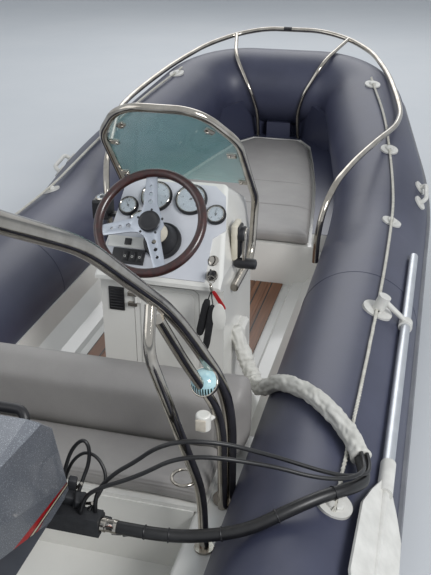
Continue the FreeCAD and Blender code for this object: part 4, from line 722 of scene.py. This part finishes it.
# Gauges: bezel, steel lip, silver face, ticks, plain numbers, needle and glass. Each is its place on the dash, its
# radius, its numbers and the angle of its needle.
gauges = {
    "gauge1": (0.099, 0.265, 0.049, ("0", "1", "2", "3", "4", "5", "6"), 200),
    "gauge2": (0.209, 0.265, 0.049, ("0", "10", "20", "30", "40", "50"), 35),
    "gauge3": (0.017, 0.226, 0.031, ("0", "50", "100"), 120),
    "gauge4": (0.293, 0.224, 0.031, ("8", "12", "16"), 95),
    "gauge5": (0.062, 0.183, 0.031, ("0", "5", "10"), 150),
}
scale = {"from": 225, "sweep": 270, "large": {"ticks": 31, "letter": 0.0085}, "small": {"ticks": 17, "letter": 0.0062}}
bezels, faces, marks, needles, glasses = [], [], [], [], []
for name, (x, up, radius, numbers, reading) in gauges.items():
    base = Matrix.Translation((x, up, 0.004))
    kind = scale["large" if radius > 0.04 else "small"]
    ring = turned([(radius - 0.001, 0.0), (radius, 0.001), (radius, 0.0095), (radius - 0.0025, 0.0135),
                   (radius - 0.005, 0.0138), (radius - 0.0066, 0.0125), (radius - 0.0074, 0.0095)], 72)
    bezels.append(baked(put(ring, base), blackPlastic))
    lip = turned([(radius - 0.0066, 0.0120), (radius - 0.0048, 0.0142), (radius - 0.0056, 0.0148),
                  (radius - 0.0072, 0.0135), (radius - 0.0076, 0.0102)], 72)
    faces.append(baked(put(openEnds(lip), base), steel))
    dial = turned([(radius - 0.0070, 0.0097), (radius - 0.0074, 0.0101)], 64)
    faces.append(baked(put(dial, base), dialPaint))
    for k in range(kind["ticks"]):
        turn = math.radians(scale["from"] - scale["sweep"] * k / (kind["ticks"] - 1))
        long = k % ((kind["ticks"] - 1) // (len(numbers) - 1)) == 0
        length, width = (0.0052, 0.0009) if long else (0.0028, 0.0005)
        reach = radius - 0.0098 - length / 2
        tick = cube((length, width, 0.0003), (reach * math.cos(turn), reach * math.sin(turn), 0.0103), (0, 0, turn))
        marks.append(put(tick, base))
    for k, number in enumerate(numbers):
        turn = math.radians(scale["from"] - scale["sweep"] * k / (len(numbers) - 1))
        reach = radius - 0.0205 * (radius / 0.049) ** 0.6
        word = label(number, kind["letter"], (reach * math.cos(turn), reach * math.sin(turn), 0.0101))
        marks.append(put(word, base))
    tip = radius - 0.014
    needle = plate([(-0.006, -0.0012), (tip, -0.0004), (tip, 0.0004), (-0.006, 0.0012)], 0.0006)
    needle.matrix_world = base @ Matrix.Translation((0, 0, 0.0112)) @ Matrix.Rotation(math.radians(reading), 4, "Z")
    hub = turned([(0.0035, 0.0105), (0.0035, 0.0122), (0.0028, 0.0128), (0.001, 0.0129)], 24)
    needles += [baked(needle, needlePaint), baked(put(hub, base), needlePaint)]
    glass = turned([(radius - 0.0072, 0.0131), (radius - 0.012, 0.0137), (radius * 0.5, 0.0144),
                    (radius * 0.1, 0.0146)])
    glasses.append(baked(put(glass, base), clearLens))
finish(joined(bezels), "gauge_bezels", blackPlastic, "hull", dashMatrix, 35, ["gauges"])
finish(joined(faces), "gauge_faces", steel, "hull", dashMatrix)
finish(joined(marks), "gauge_marks", markInk, "hull", dashMatrix, 0)
finish(joined(needles), "gauge_needles", needlePaint, "hull", dashMatrix)
finish(joined(glasses), "gauge_glasses", clearLens, "hull", dashMatrix)
print("Set the gauges")

# Switch panel: three rockers in their wells, each with a small square of four bars.
switches = {"places": (0.042, 0.065, 0.088), "up": 0.066, "tilt": math.radians(7), "barRing": 0.0027}
panel = cube((0.102, 0.048, 0.0055), (0.050, switches["up"], 0.0068), bevel=0.0016, segments=3)
panelParts = [baked(panel, blackPlastic)]
bars = []
for x in switches["places"]:
    well = cube((0.0185, 0.0300, 0.003), (x, switches["up"], 0.0105), bevel=0.001)
    rocker = cube((0.0150, 0.0250, 0.006), (x, switches["up"], 0.0126), (switches["tilt"], 0, 0), 0.0018, 3)
    panelParts += [baked(well, blackPlastic), baked(rocker, blackPlastic)]
    for side in range(4):
        turn = math.radians(90 * side)
        place = (x + switches["barRing"] * math.sin(turn), 0.0632 + switches["barRing"] * math.cos(turn), 0.0156)
        bars.append(baked(cube((0.0062, 0.0009, 0.0006), place, (switches["tilt"], 0, -turn)), lampWhite))
finish(joined(panelParts), "rocker_panel", blackPlastic, "hull", dashMatrix, 35, ["switch_panel"])
finish(joined(bars), "rocker_marks", lampWhite, "hull", dashMatrix)
raised = cube((0.118, 0.036, 0.003), (0.036, 0.111, 0.0055), bevel=0.0012, segments=3)
finish(raised, "raised_plate", gelcoat, "hull", dashMatrix)
square = cube((0.021, 0.021, 0.004), (0.040, 0.112, 0.0085), bevel=0.0015, segments=3)
finish(square, "socket_cover", blackPlastic, "hull", dashMatrix)

# Ignition lock with its ring, and the bare badge above it: material, place on the dash, node and profile.
lockParts = {
    "ignition_lock": (blackPlastic, (0.315, 0.036), ["ignition_switch"], [
        (0.0160, 0.0), (0.0160, 0.0055), (0.0145, 0.0075), (0.0115, 0.0080), (0.0105, 0.0068), (0.0100, 0.0072),
        (0.0098, 0.0140), (0.0090, 0.0148), (0.0030, 0.0148)]),
    "lock_ring": (steel, (0.315, 0.036), [], [
        (0.0162, 0.0052), (0.0168, 0.0062), (0.0160, 0.0082), (0.0140, 0.0084), (0.0134, 0.0076)]),
    "bare_badge": (steel, (0.310, 0.082), [], [
        (0.0155, 0.0042), (0.0160, 0.0052), (0.0150, 0.0068), (0.0120, 0.0078), (0.0040, 0.0082)]),
}
for name, (material, place, replaced, profile) in lockParts.items():
    piece = put(turned(profile), Matrix.Translation((*place, 0)))
    finish(piece, name, material, "hull", dashMatrix, 35, replaced)

# Key with its ring, clasp, float and lanyard. They hang straight down from the lock, in a plane at this distance
# from the transom: local x to starboard, y up, z aft.
keys = {
    "y": 0.934, "ring": (0.321, 0.717), "clasp": (0.322, 0.690), "tag": (0.3495, 0.607), "tagWide": 0.0205,
    "tagTall": 0.044, "tagCorners": 40,
}
hang = Matrix(((1, 0, 0, 0), (0, 0, -1, keys["y"]), (0, 1, 0, 0), (0, 0, 0, 1)))
blade = cube((0.0022, 0.010, 0.014), (0.315, 0.036, 0.020), bevel=0.0006)
finish(blade, "key_blade", steel, "hull", dashMatrix)
bow = cube((0.0045, 0.022, 0.018), (0.315, 0.034, 0.030), bevel=0.002, segments=3)
finish(bow, "key_head", blackPlastic, "hull", dashMatrix)
finish(torus(0.0115, 0.0011, 48, 8, (*keys["ring"], 0)), "key_ring", steel, "hull", hang)
clasp = turned([(0.0035, -0.016), (0.0048, -0.012), (0.0048, 0.004), (0.0030, 0.007), (0.0040, 0.012),
                (0.0015, 0.016)], 24)
clasp.rotation_euler = (math.radians(-90), 0, math.radians(12))
clasp.location = (*keys["clasp"], 0)
finish(clasp, "key_clasp", steel, "hull", hang)

# Floats and strap: an outline along a line, narrowed at both ends and rounded by a bevel. Each is its two ends, its
# width and thickness, its material, and how far aft it hangs.
lobes = {
    "key_float_a": ((0.311, 0.652), (0.285, 0.530), 0.024, 0.016, webbing, 0.002),
    "key_float_b": ((0.328, 0.640), (0.306, 0.487), 0.021, 0.014, webbing, 0.010),
    "key_strap": ((0.331, 0.688), (0.366, 0.632), 0.013, 0.0022, redWebbing, 0.014),
}
lobeShape = ((0.0, 0.45), (0.04, 0.72), (0.16, 0.95), (0.5, 1.0), (0.84, 1.0), (0.95, 0.8), (1.0, 0.45))
for name, (start, end, width, thickness, material, lift) in lobes.items():
    start, end = Vector(start), Vector(end)
    along = end - start
    across = Vector((-along.y, along.x)).normalized() * width / 2
    outline = [tuple(start + along * share + across * reach) for share, reach in lobeShape]
    outline += [tuple(start + along * share - across * reach) for share, reach in reversed(lobeShape)]
    piece = plate(outline, thickness, thickness * 0.38, 4)
    piece.location.z = lift - thickness / 2
    finish(piece, name, material, "hull", hang, 60)
tagX, tagUp = keys["tag"]
outline = []
for k in range(keys["tagCorners"]):
    turn = k * math.pi / (keys["tagCorners"] / 2)
    outline.append((tagX + keys["tagWide"] * math.cos(turn), tagUp + keys["tagTall"] * math.sin(turn)))
tag = plate(outline, 0.003, 0.001, 3)
tag.location.z = 0.016
finish(tag, "key_tag", lampWhite, "hull", hang)
floatCords = {"float_cord_a": ((0.322, 0.678), (0.313, 0.648)), "float_cord_b": ((0.324, 0.678), (0.328, 0.640))}
for name, (start, end) in floatCords.items():
    halfway = ((start[0] + end[0]) / 2 - 0.001, (start[1] + end[1]) / 2, 0.005)
    link = tubeMesh(name, [Vector((*start, 0.004)), Vector(halfway), Vector((*end, 0.006))], 0.0016, 12)
    finish(link, name, webbing, "hull", hang, 60)
print("Hung the key")

# Engine control on the console's side: moulded base, hub, polished lever and black grip.
control = {"side": 0.345, "y": 1.124, "z": 0.784}
sideMatrix = Matrix(((0, 0, 1, control["side"]), (1, 0, 0, control["y"]), (0, 1, 0, control["z"]), (0, 0, 0, 1)))
base = cube((0.064, 0.118, 0.020), (0.002, -0.021, 0.004), bevel=0.008, segments=4)
finish(base, "control_base", creamPlastic, "hull", sideMatrix, 35, ["engine_control"])
housing = cube((0.050, 0.100, 0.012), (0.002, -0.021, 0.016), bevel=0.006, segments=4)
finish(housing, "control_housing", blackPlastic, "hull", sideMatrix)
hub = turned([(0.026, 0.014), (0.026, 0.030), (0.023, 0.034), (0.012, 0.036), (0.011, 0.0385), (0.004, 0.0392)])
finish(hub, "control_hub", blackPlastic, "hull", sideMatrix)
lever = plate([(-0.018, 0.012), (-0.010, 0.020), (0.010, 0.020), (0.018, 0.012), (0.009, -0.020), (-0.004, -0.060),
               (-0.008, -0.084), (-0.030, -0.084), (-0.028, -0.052)], 0.010, 0.003, 3)
lever.location.z = 0.029
finish(lever, "control_lever", steel, "hull", sideMatrix)
grip = turned([(0.010, 0.004), (0.0150, 0.007), (0.0165, 0.014), (0.0165, 0.054), (0.0172, 0.062), (0.0152, 0.070),
               (0.008, 0.073)], 36)
finish(put(grip, Matrix.Translation((-0.020, -0.086, 0.0))), "control_grip", blackPlastic, "hull", sideMatrix)

# Compass: chrome bezel, card and glass dome on the black housing. Each is its material, sides and profile.
compassTop = Matrix.Translation((-0.073, 1.115, 0.862))
compass = {
    "compass_bezel": (steel, 48, [
        (0.0225, 0.0), (0.0232, 0.002), (0.0215, 0.0045), (0.0190, 0.0048), (0.0182, 0.0030)]),
    "compass_card": (dialPaint, 40, [(0.0180, 0.0032), (0.0175, 0.0042)]),
    "compass_dome": (clearLens, 40, [
        (0.0185, 0.0040), (0.0180, 0.0070), (0.0160, 0.0105), (0.0125, 0.0132), (0.0080, 0.0148), (0.0030, 0.0154)]),
}
for name, (material, sides, profile) in compass.items():
    finish(turned(profile, sides), name, material, "hull", compassTop)

# Windscreen clamps: small pads through the pane with a screw each. Places are to the side and up the pane from its
# foot, with the pad's turn in degrees.
screen = {
    "foot": (0.150, 1.250, 0.900), "rake": math.radians(40), "clamps": (
        (0.178, 0.158, 0), (0.193, 0.012, 0), (-0.132, 0.277, 40), (-0.178, 0.186, 0), (-0.193, 0.012, 0),
        (0.132, 0.277, -40)),
}
screenUp = Vector((0, -math.sin(screen["rake"]), math.cos(screen["rake"])))
screenNormal = Vector((0, math.cos(screen["rake"]), math.sin(screen["rake"])))
screenAxes = Matrix((Vector((1, 0, 0)), screenUp, -screenNormal)).transposed().to_4x4()
clamps = []
for side, up, turn in screen["clamps"]:
    pad = cube((0.030, 0.020, 0.010), (side, up, 0.003), (0, 0, math.radians(turn)), 0.003, 3)
    head = turned([(0.0058, 0.007), (0.0058, 0.0095), (0.0046, 0.0112), (0.0020, 0.0116)], 24)
    head.location = (side * 0.96, up, 0)
    clamps += [baked(pad, steel), baked(head, steel)]
finish(joined(clamps), "pane_clamps", steel, "hull", Matrix.Translation(screen["foot"]) @ screenAxes)

# Vent on the console's aft face, and tape round the bow rail.
vent = {"x": 0.005, "slats": 7, "pitch": 0.0098, "lowest": 0.558, "tilt": math.radians(35)}
ventParts = [baked(cube((0.050, 0.006, 0.079), (vent["x"], 0.989, 0.5875), bevel=0.0015), blackPlastic)]
for k in range(vent["slats"]):
    place = (vent["x"], 0.9852, vent["lowest"] + vent["pitch"] * k)
    ventParts.append(baked(cube((0.040, 0.004, 0.0035), place, (vent["tilt"], 0, 0), 0.0008), blackPlastic))
finish(joined(ventParts), "console_vent", blackPlastic)
tapeLine = [Vector((-0.059 + 0.0049 * k, 4.0655, 0.8888)) for k in range(11)]
tape = tubeMesh("rail_tape", tapeLine, lambda i, angle, run: 0.0131 + 0.0004 * (i % 3 == 0), 28)
finish(tape, "rail_tape", blackPlastic)
print("Fitted the console")

# Deck light: a ribbed glass dome let into the chrome shell, and the square lens of the lamp below it.
light = {"centre": (0.432, 0.470, 0.680), "radius": 0.0348, "faces": (-0.25, -0.75, 0.6), "cut": 0.006}
lightRim = Vector(light["centre"]) + Vector(light["faces"]) * light["cut"]
deselect()
bpy.ops.mesh.primitive_uv_sphere_add(segments=64, ring_count=32, radius=light["radius"], location=light["centre"])
lens = bpy.context.object
bpy.ops.object.mode_set(mode="EDIT")
bpy.ops.mesh.select_all(action="SELECT")
bpy.ops.mesh.bisect(plane_co=lightRim, plane_no=light["faces"], clear_inner=True, use_fill=True)
bpy.ops.object.mode_set(mode="OBJECT")
finish(lens, "light_lens", lampGlass, smooth=40)
finish(torus(0.0345, 0.0026, 72, 12), "light_ring", steel, "hull", standing(lightRim, light["faces"]))
finish(cube((0.026, 0.006, 0.032), (0.4285, 0.4385, 0.575), bevel=0.0022, segments=3), "lamp_lens", warmLens)
print("Fitted the lamps")

# Throttle and shift gear on the engine's front, below the hoses: blocks by place, size and turn, and rods by their
# two ends and radius.
gear = {
    "blocks": (
        ((0.168, 0.222, 0.484), (0.050, 0.030, 0.026), 0.1), ((0.206, 0.214, 0.486), (0.026, 0.030, 0.032), 0.4),
        ((0.180, 0.236, 0.512), (0.020, 0.018, 0.036), 0.2), ((0.150, 0.240, 0.456), (0.036, 0.020, 0.030), 0.0)),
    "rods": (
        ((0.150, 0.246, 0.452), (0.205, 0.232, 0.520), 0.0035), ((0.166, 0.240, 0.440), (0.236, 0.214, 0.484), 0.0040)),
}
gearParts = [baked(cube(size, place, (turn, 0.2, turn), 0.004, 3), engineDark) for place, size, turn in gear["blocks"]]
for low, high, radius in gear["rods"]:
    low, high = Vector(low), Vector(high)
    rod = tubeMesh("rod", [low, (low + high) / 2 + Vector((0, 0.002, 0)), high], radius)
    gearParts.append(baked(rod, steel))
finish(joined(gearParts), "throttle_gear", engineDark, "engine")

# Cushions: each solid is filled with air by a cloth simulation, then its seams are drawn in. A seam is its axis and
# place there, its width and its depth. "voxel" is the mesh's size, "inset" what the start is smaller by, and "cap"
# how far a point may swell.
cushions = {
    "seat_pad": {
        "node": "seat_cushion", "voxel": 0.006, "inset": 0.005, "cap": 0.009, "pressure": 4.0, "soften": 5, "fill": 0.8,
        "seams": [("z", 0.343, 0.0022, 0.0020), ("z", 0.3335, 0.0022, 0.0018)],
    },
    "bolster_pad": {
        "node": "bench_bolster", "voxel": 0.0065, "inset": 0.006, "cap": 0.011, "pressure": 4.0, "soften": 45,
        "fill": 0.9, "seams": [("x", 0.402, 0.0026, 0.0024), ("x", -0.402, 0.0026, 0.0024)],
    },
    "bow_pad": {
        "node": "bow_cushion", "voxel": 0.010, "inset": 0.006, "cap": 0.012, "pressure": 4.0, "soften": 4, "fill": 0.7,
        "seams": [("y", 2.84, 0.0045, 0.0065), ("y", 2.52, 0.0045, 0.0065), ("z", 0.331, 0.004, 0.0020)],
    },
}
clothSteps = 20
for name, cushion in cushions.items():
    low, high = (Vector(corner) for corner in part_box(cushion["node"]))
    pad = mergedCopy(cushion["node"], name)
    bpy.ops.mesh.normals_make_consistent(inside=False)
    bpy.ops.object.mode_set(mode="OBJECT")
    middle = (low + high) / 2
    shares = [1 - 2 * cushion["inset"] / (high[k] - low[k]) for k in range(3)]
    for corner in pad.data.vertices:
        corner.co = [middle[k] + (corner.co[k] - middle[k]) * shares[k] for k in range(3)]
    applyModifier(pad, addModifier(pad, "REMESH", mode="VOXEL", voxel_size=cushion["voxel"]))
    before = [v.co.copy() for v in pad.data.vertices]
    cloth = addModifier(pad, "CLOTH")
    cloth.settings.quality = 4
    cloth.settings.use_pressure = True
    cloth.settings.uniform_pressure_force = cushion["pressure"]
    cloth.settings.effector_weights.gravity = 0
    cloth.point_cache.frame_start = 1
    cloth.point_cache.frame_end = clothSteps
    for step in range(clothSteps):
        scene.frame_set(step + 1)
    applyModifier(pad, cloth)
    scene.frame_set(1)
    for corner, start in zip(pad.data.vertices, before):
        move = corner.co - start
        if move.length > cushion["cap"]:
            corner.co = start + move * (cushion["cap"] / move.length)
        corner.co.z = max(corner.co.z, low.z + 0.0005)
    applyModifier(pad, addModifier(pad, "SMOOTH", factor=0.5, iterations=cushion["soften"]))
    applyModifier(pad, addModifier(pad, "SUBSURF", levels=1, render_levels=1))
    pad.data.update()
    normals = [v.normal.copy() for v in pad.data.vertices]
    for corner, normal in zip(pad.data.vertices, normals):
        draw = 0.0
        for axis, place, width, depth in cushion["seams"]:
            k = "xyz".index(axis)
            if abs(normal[k]) <= 0.7:
                draw += depth * math.exp(-((corner.co[k] - place) / width) ** 2)
        corner.co -= normal * draw
    finish(pad, name, leather, smooth=60, replaced=[cushion["node"]])
    print("Filled", name)

# Grab lines: three strands laid round each other, along the tubes and through the holders.
grabLine = {
    "strand": 0.012 * 0.262, "lay": 0.042, "strands": 3,
    "points": [
        (0.7675, 0.350, 0.465), (0.7805, 1.367, 0.4603), (0.770, 2.153, 0.4663), (0.7535, 2.4003, 0.5097),
        (0.7034, 2.7477, 0.591), (0.6441, 3.090, 0.6648), (0.5513, 3.4128, 0.7399), (0.5369, 3.4752, 0.7538),
    ],
}
for name, side in {"grab_line_starboard": 1, "grab_line_port": -1}.items():
    places = linePoints(name, [(x * side, y, z) for x, y, z in grabLine["points"]], 100)
    strands = [baked(tubeMesh("strand", places, grabLine["strand"], 10, 2 * math.pi / grabLine["lay"],
                              grabLine["strand"], 2 * math.pi * k / grabLine["strands"]), rope)
               for k in range(grabLine["strands"])]
    finish(joined(strands), name + "_strands", rope, smooth=60, replaced=[name])
print("Laid the ropes")

# Seam bands: strips of the same fabric glued round the tubes, cut from each tube's own surface.
seamBands = {"tubes": ("tube_starboard", "tube_port"), "places": ((0.02, 0.060), (1.62, 1.655)), "thickness": 0.0011}
for node in seamBands["tubes"]:
    strips = []
    for low, high in seamBands["places"]:
        band = mergedCopy(node, "band")
        bpy.ops.mesh.bisect(plane_co=(0, low, 0), plane_no=(0, -1, 0), clear_outer=True)
        bpy.ops.mesh.select_all(action="SELECT")
        bpy.ops.mesh.bisect(plane_co=(0, high, 0), plane_no=(0, 1, 0), clear_outer=True)
        bpy.ops.object.mode_set(mode="OBJECT")
        addModifier(band, "SOLIDIFY", thickness=seamBands["thickness"], offset=1.0)
        strips.append(baked(band, tubeFabric))
    finish(joined(strips), node + "_bands", tubeFabric, smooth=40)
print("Glued the seams")
